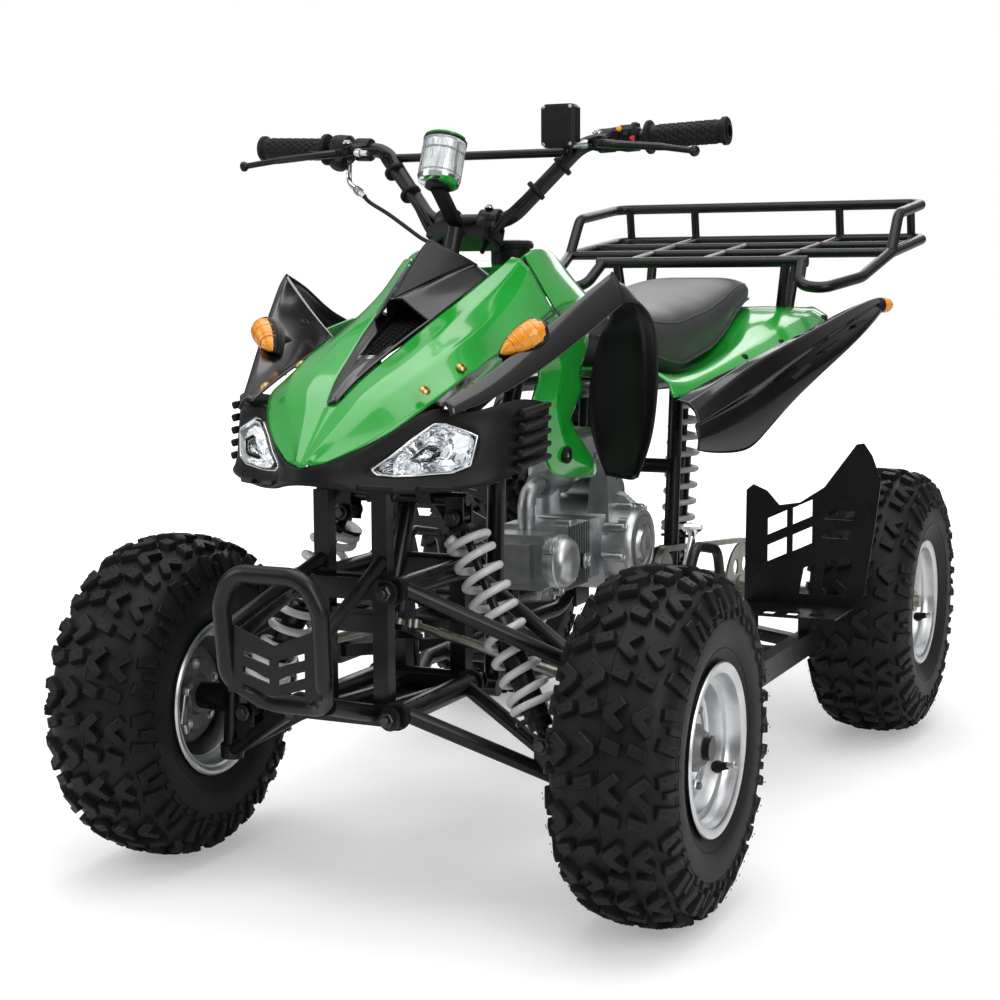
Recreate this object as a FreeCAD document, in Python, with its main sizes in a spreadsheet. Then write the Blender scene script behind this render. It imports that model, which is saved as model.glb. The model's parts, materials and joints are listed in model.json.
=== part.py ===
import FreeCAD
import Part
import Sketcher
import math
import os
from FreeCAD import Vector, Rotation, Placement

# Quad bike, standing on its four tyres. Millimetres.
# The vehicle faces -Y, its left side is +X and +Z is up.
# The origin lies on the ground below the middle of the whole vehicle.

doc = FreeCAD.newDocument("quad_bike")
sheet = doc.addObject("Spreadsheet::Sheet", "Sizes")

SIZES = [
    # running gear
    ("wheelbase", 1150.0),
    ("front_track", 755.0),
    ("rear_track", 775.0),
    ("front_tyre_radius", 235.0),
    ("front_tyre_width", 178.0),
    ("rear_tyre_radius", 243.0),
    ("rear_tyre_width", 194.0),
    ("lug_height", 12.0),
    ("lug_groups", 16.0),
    ("bead_seat_radius", 101.6),
    ("rim_flange_radius", 113.5),
    ("rim_width", 152.0),
    ("rim_sheet", 3.0),
    ("rim_disc_inset", 37.0),
    ("rim_hub_hole_radius", 33.0),
    ("stud_circle_radius", 50.0),
    ("stud_radius", 5.0),
    ("tyre_seat_gap", 0.3),
    ("hub_radius", 31.0),
    ("hub_flange_radius", 62.0),
    ("drum_radius", 60.0),
    ("drum_width", 34.0),
    ("spindle_radius", 10.0),
    ("running_gap", 0.05),
    ("clear_gap", 0.3),
    # front suspension and steering
    ("kingpin_low_inset", 92.5),
    ("kingpin_low_z", 158.0),
    ("kingpin_high_inset", 101.5),
    ("kingpin_high_z", 322.0),
    ("kingpin_radius", 7.0),
    ("lower_arm_pivot_x", 72.0),
    ("lower_arm_pivot_z", 277.0),
    ("upper_arm_pivot_x", 70.0),
    ("upper_arm_pivot_z", 441.0),
    ("arm_pivot_front", 160.0),
    ("arm_pivot_length", 225.0),
    ("arm_bush_radius", 15.0),
    ("arm_tube_radius", 10.5),
    ("shock_top_x", 86.0),
    ("shock_top_z", 518.0),
    ("shock_low_x", 230.0),
    ("shock_low_z", 230.0),
    ("shock_eye_half", 11.0),
    ("seat_gap", 0.3),
    ("shock_forward", 34.0),
    ("spring_radius", 26.0),
    ("spring_wire", 4.6),
    ("spring_turns", 8.0),
    ("stem_low_z", 385.0),
    ("stem_low_forward", 45.0),
    ("stem_top_z", 905.0),
    ("stem_top_back", 165.0),
    ("stem_radius", 12.5),
    ("stem_tube_radius", 19.0),
    ("pitman_length", 56.0),
    ("pitman_spread", 13.0),
    ("steer_arm_back", 70.0),
    ("steer_arm_out", 10.0),
    ("steer_arm_z", 262.0),
    ("rod_eye_play", 3.4),
    ("rod_pin_lean_out", -0.0523),
    ("rod_pin_lean_back", 0.3646),
    ("rod_pin_rise", 0.9297),
    ("rod_eye_half", 6.0),
    ("fork_drop", 15.0),
    ("rod_radius", 7.0),
    # chassis tubes
    ("frame_tube_radius", 12.7),
    ("flat_tube_width", 22.0),
    ("flat_tube_depth", 20.0),
    ("upright_x", 43.0),
    ("upright_forward", 136.0),
    ("lower_rail_x", 105.0),
    ("lower_rail_z", 258.0),
    ("seat_rail_x", 85.0),
    ("seat_rail_z", 655.0),
    ("bumper_reach", 347.0),
    ("bumper_tube_radius", 11.5),
    ("bumper_half_width", 70.0),
    ("bumper_top_z", 484.0),
    ("bumper_low_z", 312.0),
    ("swing_pivot_back", 345.0),
    ("swing_pivot_z", 318.0),
    ("swing_arm_x", 66.0),
    ("swing_pivot_half", 68.0),
    ("axle_radius", 15.0),
    ("axle_carrier_radius", 32.0),
    ("axle_carrier_half", 92.0),
    ("sprocket_x", 112.0),
    ("sprocket_radius", 86.0),
    ("sprocket_teeth", 24.0),
    ("drive_sprocket_radius", 32.0),
    ("chain_thickness", 6.0),
    ("chain_height", 9.0),
    ("brake_disc_x", 118.0),
    ("brake_disc_radius", 88.0),
    # rack
    ("rack_tube_radius", 10.5),
    ("rack_half_width", 337.0),
    ("rack_front_back", 82.0),
    ("rack_front_z", 864.0),
    ("rack_rear_back", 520.0),
    ("rack_rise", 49.0),
    ("rack_rail_height", 70.0),
    # body
    ("panel_thickness", 3.5),
    ("hood_nose_forward", 266.0),
    ("hood_nose_z", 608.0),
    ("hood_edge_drop", 0.0),
    ("hood_bolt_x", 114.0),
    ("insert_lift", 3.5),
    ("mask_thickness", 4.0),
    ("lens_depth", 26.0),
    ("flare_peak_x", 256.0),
    ("flare_peak_z", 844.0),
    ("flare_wall", 46.0),
    ("seat_top_z", 834.0),
    ("seat_half_width", 128.0),
    ("seat_base_z", 742.0),
    # foot area
    ("guard_thickness", 3.0),
    ("guard_ahead", 325.0),
    ("guard_inner_x", 226.0),
    ("guard_outer_x", 446.0),
    ("guard_low_z", 278.0),
    ("platform_depth", 118.0),
    ("side_rail_x", 345.0),
    ("side_rail_z", 224.0),
    # controls
    ("bar_tube_radius", 11.0),
    ("bar_half_width", 376.0),
    ("bar_grip_z", 1036.0),
    ("bar_back", 259.0),
    ("bar_end_bore_radius", 8.5),
    ("bar_end_bore_depth", 40.0),
    ("grip_radius", 17.0),
    ("grip_length", 118.0),
    ("gauge_radius", 31.0),
    ("gauge_height", 72.0),
    ("box_width", 52.0),
    ("box_height", 62.0),
    ("box_depth", 30.0),
    # engine
    ("crankcase_width", 150.0),
    ("crankcase_radius", 78.0),
    ("crank_back", 640.0),
    ("crank_z", 398.0),
    ("cover_radius", 58.0),
    ("head_size", 96.0),
    ("fin_count", 6.0),
    ("fin_thickness", 3.0),
    ("exhaust_pipe_radius", 15.0),
    ("silencer_radius", 45.0),
    ("silencer_length", 330.0),
]

for row, (alias, number) in enumerate(SIZES, start=1):
    sheet.set("A%d" % row, alias)
    sheet.set("B%d" % row, "%g" % number)
    sheet.setAlias("B%d" % row, alias)
doc.recompute()


class Size:
    """A number together with the sheet expression that gives it."""

    def __init__(self, number, text):
        self.number = float(number)
        self.text = text

    @staticmethod
    def of(other):
        if isinstance(other, Size):
            return other
        return Size(other, "(%.6f)" % other)

    def join(self, other, sign, number):
        other = Size.of(other)
        return Size(number(self.number, other.number), "(%s %s %s)" % (self.text, sign, other.text))

    def __add__(self, other):
        return self.join(other, "+", lambda a, b: a + b)

    def __radd__(self, other):
        return Size.of(other) + self

    def __sub__(self, other):
        return self.join(other, "-", lambda a, b: a - b)

    def __rsub__(self, other):
        return Size.of(other) - self

    def __mul__(self, other):
        return self.join(other, "*", lambda a, b: a * b)

    def __rmul__(self, other):
        return Size.of(other) * self

    def __truediv__(self, other):
        return self.join(other, "/", lambda a, b: a / b)

    def __neg__(self):
        return Size(-self.number, "(0 - %s)" % self.text)

    def __float__(self):
        return self.number

    def __int__(self):
        return int(round(self.number))


class Table:
    pass


v = Table()
for alias, number in SIZES:
    setattr(v, alias, Size(getattr(sheet, alias), "Sizes." + alias))

v.kingpin_low_x = v.front_track / 2 - v.kingpin_low_inset
v.kingpin_high_x = v.front_track / 2 - v.kingpin_high_inset

# The middle of the whole length, measured from the middle of the wheelbase.
front_reach = v.wheelbase / 2 + v.bumper_reach + v.bumper_tube_radius
rear_reach = v.wheelbase / 2 + v.rack_rear_back + v.rack_tube_radius
origin_shift = (rear_reach - front_reach) / 2
front_y = -(v.wheelbase / 2) - origin_shift
rear_y = v.wheelbase / 2 - origin_shift


def F(x, back, z):
    """A point measured rearwards from the front axle."""
    return Vector(float(x), float(front_y) + float(back), float(z))


def R(x, back, z):
    """A point measured rearwards from the rear axle."""
    return Vector(float(x), float(rear_y) + float(back), float(z))


def mirror(point):
    return Vector(-point.x, point.y, point.z)


# Helpers for parametric bodies

def plane_of(body, role):
    for feature in body.Origin.OriginFeatures:
        if feature.Role == role:
            return feature
    raise ValueError(role)


def bind(target, name, value):
    value = Size.of(value)
    target.setExpression(name, value.text)


def draw(sketch, outline):
    """Closed outline of straight lines, each corner bound to its two sizes."""
    count = len(outline)
    corners = [(Size.of(a), Size.of(b)) for a, b in outline]
    first = sketch.GeometryCount
    for i in range(count):
        a, b = corners[i]
        c, d = corners[(i + 1) % count]
        line = Part.LineSegment(Vector(a.number, b.number, 0), Vector(c.number, d.number, 0))
        sketch.addGeometry(line, False)
    for i in range(count):
        sketch.addConstraint(Sketcher.Constraint("Coincident", first + i, 2, first + (i + 1) % count, 1))
    for i in range(count):
        a, b = corners[i]
        index = sketch.addConstraint(Sketcher.Constraint("DistanceX", first + i, 1, a.number))
        sketch.setExpression("Constraints[%d]" % index, a.text)
        index = sketch.addConstraint(Sketcher.Constraint("DistanceY", first + i, 1, b.number))
        sketch.setExpression("Constraints[%d]" % index, b.text)


def ring(sketch, x, y, radius):
    """Circle with its centre and radius bound."""
    x, y, radius = Size.of(x), Size.of(y), Size.of(radius)
    centre = Vector(x.number, y.number, 0)
    first = sketch.addGeometry(Part.Circle(centre, Vector(0, 0, 1), radius.number), False)
    index = sketch.addConstraint(Sketcher.Constraint("Radius", first, radius.number))
    sketch.setExpression("Constraints[%d]" % index, radius.text)
    index = sketch.addConstraint(Sketcher.Constraint("DistanceX", first, 3, x.number))
    sketch.setExpression("Constraints[%d]" % index, x.text)
    index = sketch.addConstraint(Sketcher.Constraint("DistanceY", first, 3, y.number))
    sketch.setExpression("Constraints[%d]" % index, y.text)


def new_body(name):
    return doc.addObject("PartDesign::Body", name)


def new_sketch(body, name, role):
    sketch = body.newObject("Sketcher::SketchObject", name)
    sketch.AttachmentSupport = [(plane_of(body, role), "")]
    sketch.MapMode = "FlatFace"
    return sketch


def lathe(name, profile):
    """Body turned about its own X axis from (along, radius) corners."""
    body = new_body(name)
    sketch = new_sketch(body, name + "_profile", "XY_Plane")
    draw(sketch, profile)
    turned = body.newObject("PartDesign::Revolution", name + "_turned")
    turned.Profile = sketch
    turned.ReferenceAxis = (sketch, ["H_Axis"])
    turned.Angle = 360
    sketch.Visibility = False
    return body


def plate(name, role, outline, thickness, middle=True):
    """Body padded from a flat outline."""
    body = new_body(name)
    sketch = new_sketch(body, name + "_outline", role)
    draw(sketch, outline)
    pad = body.newObject("PartDesign::Pad", name + "_pad")
    pad.Profile = sketch
    pad.Midplane = middle
    bind(pad, "Length", thickness)
    return body


def cut_through(body, name, role, outlines, circles=()):
    """Holes that go through the whole body."""
    sketch = new_sketch(body, name + "_sketch", role)
    for outline in outlines:
        draw(sketch, outline)
    for x, y, radius in circles:
        ring(sketch, x, y, radius)
    pocket = body.newObject("PartDesign::Pocket", name)
    pocket.Profile = sketch
    pocket.Type = "ThroughAll"
    pocket.Midplane = True
    return pocket


def polar(body, feature, name, axis_of, count):
    pattern = body.newObject("PartDesign::PolarPattern", name)
    pattern.Originals = [feature]
    pattern.Axis = (plane_of(body, axis_of), [""])
    pattern.Angle = 360
    pattern.Occurrences = int(count)
    body.Tip = pattern
    return pattern


def place(obj, point, rotation=None):
    obj.Placement = Placement(point, rotation or Rotation())
    return obj


def place_bound(obj, x, y, z, rotation=None):
    """Placement whose three coordinates follow the sheet."""
    x, y, z = Size.of(x), Size.of(y), Size.of(z)
    obj.Placement = Placement(Vector(x.number, y.number, z.number), rotation or Rotation())
    bind(obj, "Placement.Base.x", x)
    bind(obj, "Placement.Base.y", y)
    bind(obj, "Placement.Base.z", z)
    return obj


# Helpers for shapes that run freely in space

def arc_wire(points, bend):
    """Straight runs joined by tangent arcs."""
    if len(points) == 2:
        return Part.Wire([Part.LineSegment(points[0], points[1]).toShape()])
    edges = []
    start = points[0]
    for i in range(1, len(points) - 1):
        before = (points[i] - points[i - 1])
        after = (points[i + 1] - points[i])
        a = Vector(before)
        b = Vector(after)
        a.normalize()
        b.normalize()
        turn = a.getAngle(b)
        setback = bend * math.tan(turn / 2)
        limit = 0.48 * min(before.Length, after.Length)
        setback = min(setback, limit)
        radius = setback / math.tan(turn / 2)
        enter = points[i] - a * setback
        leave = points[i] + b * setback
        inward = b - a
        inward.normalize()
        centre = points[i] + inward * (radius / math.cos(turn / 2))
        towards = points[i] - centre
        towards.normalize()
        middle = centre + towards * radius
        if (enter - start).Length > 0.01:
            edges.append(Part.LineSegment(start, enter).toShape())
        edges.append(Part.Arc(enter, middle, leave).toShape())
        start = leave
    edges.append(Part.LineSegment(start, points[-1]).toShape())
    return Part.Wire(edges)


def tube(points, radius, bend=40.0):
    """Round bar along straight runs and arcs."""
    radius = float(radius)
    if len(points) == 2:
        along = points[1] - points[0]
        return Part.makeCylinder(radius, along.Length, points[0], along)
    path = arc_wire(points, bend)
    direction = points[1] - points[0]
    section = Part.Wire([Part.makeCircle(radius, points[0], direction)])
    return path.makePipeShell([section], True, False)


def loop_tube(points, radius, bend):
    """Round bar along a closed loop, started in the middle of its first run."""
    middle = (points[0] + points[-1]) * 0.5
    path = arc_wire([middle] + points + [middle], bend)
    section = Part.Wire([Part.makeCircle(float(radius), middle, points[0] - middle)])
    return path.makePipeShell([section], True, False)


def bar(start, end, width, depth, up=Vector(0, 0, 1)):
    """Rectangular bar between two points, its depth towards up."""
    along = end - start
    length = along.Length
    rotation = Rotation(along, up.cross(along), up, "XZY")
    box = Part.makeBox(length, float(width), float(depth))
    centred = Placement(Vector(0, -float(width) / 2, -float(depth) / 2), Rotation())
    box.Placement = Placement(start, rotation).multiply(centred)
    return box


def fuse(shapes):
    solid = shapes[0]
    if len(shapes) > 1:
        solid = shapes[0].multiFuse(shapes[1:])
    return solid.removeSplitter()


def grid(rows):
    """Points and cells of a net of rows."""
    points = []
    cells = []
    for row in rows:
        points.extend(row)
    across = len(rows[0])
    for i in range(len(rows) - 1):
        for j in range(across - 1):
            a = i * across + j
            cells.append((a, a + 1, a + across + 1, a + across))
    return points, cells


def panel(points, cells, thickness):
    """Moulded panel: a net of cells given its wall thickness inwards."""
    thickness = float(thickness)
    triangles = []
    for cell in cells:
        if len(cell) == 4:
            a, b, c, d = cell
            if (points[a] - points[c]).Length <= (points[b] - points[d]).Length:
                triangles.append((a, b, c))
                triangles.append((a, c, d))
            else:
                triangles.append((a, b, d))
                triangles.append((b, c, d))
        else:
            triangles.append(tuple(cell))
    triangles = [t for t in triangles if (points[t[1]] - points[t[0]]).cross(points[t[2]] - points[t[0]]).Length > 0.5]
    normals = [Vector() for point in points]
    for t in triangles:
        a, b, c = [points[k] for k in t]
        normal = (b - a).cross(c - a)
        normal.normalize()
        for k, (p, q, r) in zip(t, ((a, b, c), (b, c, a), (c, a, b))):
            weight = (q - p).getAngle(r - p)
            normals[k] = normals[k] + normal * weight
    inner = []
    for point, normal in zip(points, normals):
        if normal.Length > 0:
            normal.normalize()
        inner.append(point - normal * thickness)
    faces = []

    def face(a, b, c):
        faces.append(Part.Face(Part.makePolygon([a, b, c, a])))

    edges = {}
    for t in triangles:
        face(points[t[0]], points[t[1]], points[t[2]])
        face(inner[t[0]], inner[t[2]], inner[t[1]])
        for a, b in ((t[0], t[1]), (t[1], t[2]), (t[2], t[0])):
            edges[(a, b)] = edges.get((a, b), 0) + 1
    for a, b in edges:
        if (b, a) not in edges:
            face(points[a], inner[a], inner[b])
            face(points[a], inner[b], points[b])
    shell = Part.Shell(faces)
    shell.sewShape()
    solid = Part.Solid(shell)
    if solid.Volume < 0:
        solid.reverse()
    return solid


def mirrored(shape):
    return shape.mirror(Vector(0, 0, 0), Vector(1, 0, 0))


def free_shape(name, shape):
    """Sub-part whose shape is built from free curves or nets."""
    feature = doc.addObject("Part::Feature", name)
    seat_of_shape = shape.Placement
    feature.Shape = shape
    feature.Placement = seat_of_shape
    return feature


def group(name, members):
    """Like pieces that share one node and do not touch."""
    compound = doc.addObject("Part::Compound", name)
    compound.Links = members
    return compound


def mirror_of(name, source):
    twin = doc.addObject("Part::Mirroring", name)
    twin.Source = source
    twin.Normal = Vector(1, 0, 0)
    twin.Base = Vector(0, 0, 0)
    return twin


subparts = []


def keep(obj, label):
    obj.Label = label
    subparts.append(obj)
    return obj


# Tyres

def closed_solid(faces):
    """Solid from a closed set of faces, its outside outwards."""
    shell = Part.Shell(faces)
    shell.sewShape()
    solid = Part.Solid(shell)
    if solid.Volume < 0:
        solid.reverse()
    return solid


def lug(corners, foot, radius_at, lean):
    """Tread block: a four-cornered foot drawn in towards a top that follows the tyre's round."""
    middle_x = sum(c[0] for c in corners) / 4.0
    middle_y = sum(c[1] for c in corners) / 4.0
    low = []
    high = []
    for x, y in corners:
        top_x = middle_x + (x - middle_x) * lean
        top_y = middle_y + (y - middle_y) * lean
        reach = radius_at(abs(top_x))
        low.append(Vector(x, y, foot))
        high.append(Vector(top_x, top_y, math.sqrt(reach * reach - top_y * top_y)))

    def face(a, b, c):
        return Part.Face(Part.makePolygon([a, b, c, a]))

    faces = [face(low[0], low[2], low[1]), face(low[0], low[3], low[2])]
    faces += [face(high[0], high[1], high[2]), face(high[0], high[2], high[3])]
    for k in range(4):
        n = (k + 1) % 4
        faces += [face(low[k], low[n], high[n]), face(low[k], high[n], high[k])]
    return closed_solid(faces)


def tyre(radius, width):
    """Knobbly tyre about the X axis: one tread group repeated round the carcass."""
    radius, width = float(radius), float(width)
    groups = int(v.lug_groups)
    height = float(v.lug_height)
    half_angle = math.pi / groups
    inner = (float(v.bead_seat_radius) + float(v.tyre_seat_gap)) / math.cos(half_angle)
    flange = float(v.rim_flange_radius)
    bead = float(v.rim_width) / 2 - float(v.rim_sheet) - 1.0
    half = width / 2.0 - 4.0
    crown = radius - height
    side = [
        (bead, inner),
        (bead, flange + 1.5),
        (half - 6.0, flange + 16.0),
        (half, (flange + crown) / 2 + 2.0),
        (half - 9.0, crown - 17.0),
        (half * 0.46, crown),
    ]
    profile = side + [(-x, r) for x, r in reversed(side)]

    def meridian(angle):
        points = [Vector(x, -r * math.sin(angle), r * math.cos(angle)) for x, r in profile]
        return points

    # flats: the crown radius is met in the middle of each flat
    left = meridian(-half_angle)
    right = meridian(half_angle)
    faces = []
    count = len(profile)
    for i in range(count):
        a, b = left[i], left[(i + 1) % count]
        c, d = right[(i + 1) % count], right[i]
        faces.append(Part.Face(Part.makePolygon([a, b, c, d, a])))
    faces.append(Part.Face(Part.makePolygon(left + [left[0]])))
    faces.append(Part.Face(Part.makePolygon(right + [right[0]])))
    sector = closed_solid(faces)
    reach = crown * math.sin(half_angle)
    flat = crown * math.cos(half_angle)

    def crown_at(x):
        return radius

    def shoulder_at(x):
        return radius - 7.0 - (x - half * 0.66) * 0.92

    # two slanted bars on the crown and one bar on each shoulder
    w = half * 0.50
    blocks = []
    for sign in (1, -1):
        blocks.append(lug([(sign * 1.5, sign * -reach * 0.86), (sign * w, sign * -reach * 0.30),
                           (sign * w * 0.80, sign * reach * 0.10), (sign * -5.0, sign * -reach * 0.40)],
                          flat - 4, crown_at, 0.88))
        blocks.append(lug([(sign * half * 0.66, sign * reach * 0.10), (sign * (half + 0.5), sign * -reach * 0.16),
                           (sign * (half + 0.5), sign * reach * 0.30), (sign * half * 0.66, sign * reach * 0.62)],
                          flat - 26, shoulder_at, 0.88))
    whole = sector.multiFuse(blocks)
    kept = []
    for item in whole.Faces:
        centre = item.CenterOfMass
        angle = math.atan2(-centre.y, centre.z)
        if abs(abs(angle) - half_angle) > 0.004 or item.normalAt(0, 0).x ** 2 > 0.5:
            kept.append(item)
    ring_faces = []
    for k in range(groups):
        turn = Placement(Vector(), Rotation(Vector(1, 0, 0), 360.0 * k / groups))
        for item in kept:
            copy = item.copy()
            copy.Placement = turn.multiply(copy.Placement)
            ring_faces.append(copy)
    shell = Part.Shell(ring_faces)
    shell.sewShape()
    solid = Part.Solid(shell)
    if solid.Volume < 0:
        solid.reverse()
    return solid


front_tyre_shape = tyre(v.front_tyre_radius, v.front_tyre_width)
rear_tyre_shape = tyre(v.rear_tyre_radius, v.rear_tyre_width)


def tyre_at(name, shape, x, y, z, turn):
    feature = doc.addObject("Part::Feature", name)
    feature.Shape = shape
    place_bound(feature, x, y, z, Rotation(Vector(0, 0, 1), turn))
    return keep(feature, name)


tyre_at("front_left_tyre", front_tyre_shape, v.front_track / 2, front_y, v.front_tyre_radius, 0)
tyre_at("front_right_tyre", front_tyre_shape, -v.front_track / 2, front_y, v.front_tyre_radius, 180)
tyre_at("rear_left_tyre", rear_tyre_shape, v.rear_track / 2, rear_y, v.rear_tyre_radius, 0)
tyre_at("rear_right_tyre", rear_tyre_shape, -v.rear_track / 2, rear_y, v.rear_tyre_radius, 180)

# Rims: pressed steel, outer side towards +X

w2 = v.rim_width / 2
t = v.rim_sheet
seat = v.bead_seat_radius
flange = v.rim_flange_radius
well = seat - 16
face = w2 - v.rim_disc_inset


def rim(name, hub_hole):
    body = lathe(name, [
        (face - t, hub_hole),
        (face, hub_hole),
        (face, well - 26),
        (face + 12, well - 12),
        (face + 12, well - t),
        (w2 - 24, seat - 9),
        (w2 - 14, seat - t),
        (w2 - t, seat - t),
        (w2, seat),
        (w2, flange),
        (w2 - t, flange),
        (w2 - t, seat),
        (w2 - 15, seat),
        (w2 - 25, seat - 6),
        (face + 10, well),
        (-w2 + 40, well),
        (-w2 + 25, seat - 6),
        (-w2 + 15, seat),
        (-w2 + t, seat),
        (-w2 + t, flange),
        (-w2, flange),
        (-w2, seat),
        (-w2 + t, seat - t),
        (-w2 + 14, seat - t),
        (-w2 + 24, seat - 9),
        (-w2 + 38, well - t),
        (face + 12 - t, well - t),
        (face + 12 - t, well - 12),
        (face - t, well - 24),
    ])
    hole = cut_through(body, name + "_stud_hole", "YZ_Plane", [],
                       [(v.stud_circle_radius, 0.0, v.stud_radius + 0.3)])
    polar(body, hole, name + "_stud_holes", "X_Axis", 4)
    return body


def rim_at(label, x, y, z, turn):
    body = rim(label, v.hub_radius + v.clear_gap)
    place_bound(body, x, y, z, Rotation(Vector(0, 0, 1), turn))
    return body


keep(rim_at("front_left_rim", v.front_track / 2, front_y, v.front_tyre_radius, 0), "front_left_rim")
keep(rim_at("front_right_rim", -v.front_track / 2, front_y, v.front_tyre_radius, 180), "front_right_rim")
rear_left_rim = rim_at("rear_rim_left_body", v.rear_track / 2, rear_y, v.rear_tyre_radius, 0)
rear_right_rim = rim_at("rear_rim_right_body", -v.rear_track / 2, rear_y, v.rear_tyre_radius, 180)
keep(group("rear_rims", [rear_left_rim, rear_right_rim]), "rear_rims")


def wheel_hub(name, bore):
    """Front hub with its brake drum, flange and four studs."""
    back = face - t
    body = lathe(name, [
        (back - v.drum_width - 4, bore),
        (face + 20, bore),
        (face + 20, v.hub_radius - 10),
        (face + 10, v.hub_radius - 4),
        (face + 10, v.hub_radius),
        (back, v.hub_radius),
        (back, v.hub_flange_radius),
        (back - 7, v.hub_flange_radius),
        (back - 7, v.drum_radius),
        (back - v.drum_width, v.drum_radius),
        (back - v.drum_width, v.drum_radius - 6),
        (back - 14, v.drum_radius - 6),
        (back - 14, v.hub_radius - 6),
        (back - v.drum_width - 4, v.hub_radius - 6),
    ])
    sketch = new_sketch(body, name + "_stud_circle", "YZ_Plane")
    ring(sketch, v.stud_circle_radius, 0.0, v.stud_radius)
    stud = body.newObject("PartDesign::Pad", name + "_stud")
    stud.Profile = sketch
    bind(stud, "Length", face + 13)
    polar(body, stud, name + "_studs", "X_Axis", 4)
    return body


hub_bore = v.spindle_radius + v.running_gap
front_left_hub = wheel_hub("front_left_hub", hub_bore)
place_bound(front_left_hub, v.front_track / 2, front_y, v.front_tyre_radius)
keep(front_left_hub, "front_left_hub")
front_right_hub = wheel_hub("front_right_hub", hub_bore)
place_bound(front_right_hub, -v.front_track / 2, front_y, v.front_tyre_radius, Rotation(Vector(0, 0, 1), 180))
keep(front_right_hub, "front_right_hub")

# Knuckles: kingpin post, spindle, backing plate and steering arm

kingpin_low = F(v.kingpin_low_x, 0, v.kingpin_low_z)
kingpin_high = F(v.kingpin_high_x, 0, v.kingpin_high_z)
kingpin_axis = kingpin_high - kingpin_low
kingpin_axis.normalize()
steer_arm_tip = F(v.kingpin_low_x + v.steer_arm_out, v.steer_arm_back, v.steer_arm_z)


def knuckle():
    centre = F(v.front_track / 2, 0, v.front_tyre_radius)
    x_end = centre.x + float(face) + 26
    back = centre.x + float(face - t) - float(v.drum_width)
    gap = 10.0 + float(v.seat_gap)
    post = Part.makeCylinder(13, (kingpin_high - kingpin_low).Length - 2 * gap,
                             kingpin_low + kingpin_axis * gap, kingpin_axis)
    kingpin = Part.makeCylinder(float(v.kingpin_radius), (kingpin_high - kingpin_low).Length + 22,
                                kingpin_low - kingpin_axis * 11, kingpin_axis)
    spindle = Part.makeCylinder(float(v.spindle_radius), x_end - kingpin_low.x,
                                Vector(kingpin_low.x, centre.y, centre.z), Vector(1, 0, 0))
    boss = Part.makeCone(22, 17, back - 12 - kingpin_low.x, Vector(kingpin_low.x, centre.y, centre.z),
                         Vector(1, 0, 0))
    backing = Part.makeCylinder(float(v.drum_radius) + 4, 4, Vector(back - 9, centre.y, centre.z),
                                Vector(1, 0, 0))
    step = Part.makeCylinder(17, 7, Vector(back - 13, centre.y, centre.z), Vector(1, 0, 0))
    nut = Part.makeCylinder(15, 9, Vector(centre.x + float(face) + 20.3, centre.y, centre.z), Vector(1, 0, 0))
    tip = steer_arm_tip
    root = kingpin_low + (kingpin_high - kingpin_low) * 0.42
    arm = tube([root, tip + (root - tip) * 0.04], 8)
    eye = Part.makeCylinder(11, 12, tip - Vector(0, 0, 6), Vector(0, 0, 1))
    pin = Part.makeCylinder(4, 24, tip - Vector(0, 0, 2), Vector(0, 0, 1))
    return fuse([post, kingpin, spindle, boss, backing, step, nut, arm, eye, pin])


left_knuckle = knuckle()
keep(free_shape("left_knuckle", left_knuckle), "left_knuckle")
keep(free_shape("right_knuckle", mirrored(left_knuckle)), "right_knuckle")

# Steering stem line

stem_low = F(0, -float(v.stem_low_forward), v.stem_low_z)
stem_top = F(0, v.stem_top_back, v.stem_top_z)
stem_axis = stem_top - stem_low
stem_axis.normalize()
stem_side = Vector(1, 0, 0)
stem_front = stem_side.cross(stem_axis)
if stem_front.y > 0:
    stem_front = stem_front * -1

pitman_pin = stem_low - stem_front * float(v.pitman_length)
pitman_left = pitman_pin + Vector(float(v.pitman_spread), 0, 0)
rod_pin_axis = Vector(float(v.rod_pin_lean_out), float(v.rod_pin_lean_back), float(v.rod_pin_rise))
rod_pin_axis.normalize()

# Tie rods: ball eye at each end

def tie_rod():
    inner = pitman_left
    outer = steer_arm_tip + Vector(0, 0, 16)
    along = outer - inner
    along.normalize()
    eye_half = float(v.rod_eye_half)
    inner_eye = Part.makeCylinder(9.5, 2 * eye_half, inner - rod_pin_axis * eye_half, rod_pin_axis)
    outer_eye = Part.makeCylinder(12, 9, outer - Vector(0, 0, 4.5), Vector(0, 0, 1))
    rod = Part.makeCylinder(float(v.rod_radius) * 0.65, (outer - inner).Length - 16, inner + along * 7, along)
    sleeve = Part.makeCylinder(float(v.rod_radius), (outer - inner).Length - 70, inner + along * 35, along)
    solid = fuse([inner_eye, outer_eye, rod, sleeve])
    hole_in = Part.makeCylinder(4.05, 30, inner - rod_pin_axis * 15, rod_pin_axis)
    hole_out = Part.makeCylinder(4 + float(v.rod_eye_play), 30, outer - Vector(0, 0, 15), Vector(0, 0, 1))
    return solid.cut(hole_in).cut(hole_out)


left_rod = tie_rod()
keep(free_shape("left_tie_rod", left_rod), "left_tie_rod")
keep(free_shape("right_tie_rod", mirrored(left_rod)), "right_tie_rod")

# Steering stem with the forked arm at its foot and the bar clamp on top

bar_y = front_y + v.bar_back
bar_clamp = Vector(0, float(bar_y) - 62, float(v.bar_grip_z) - 120)


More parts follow.
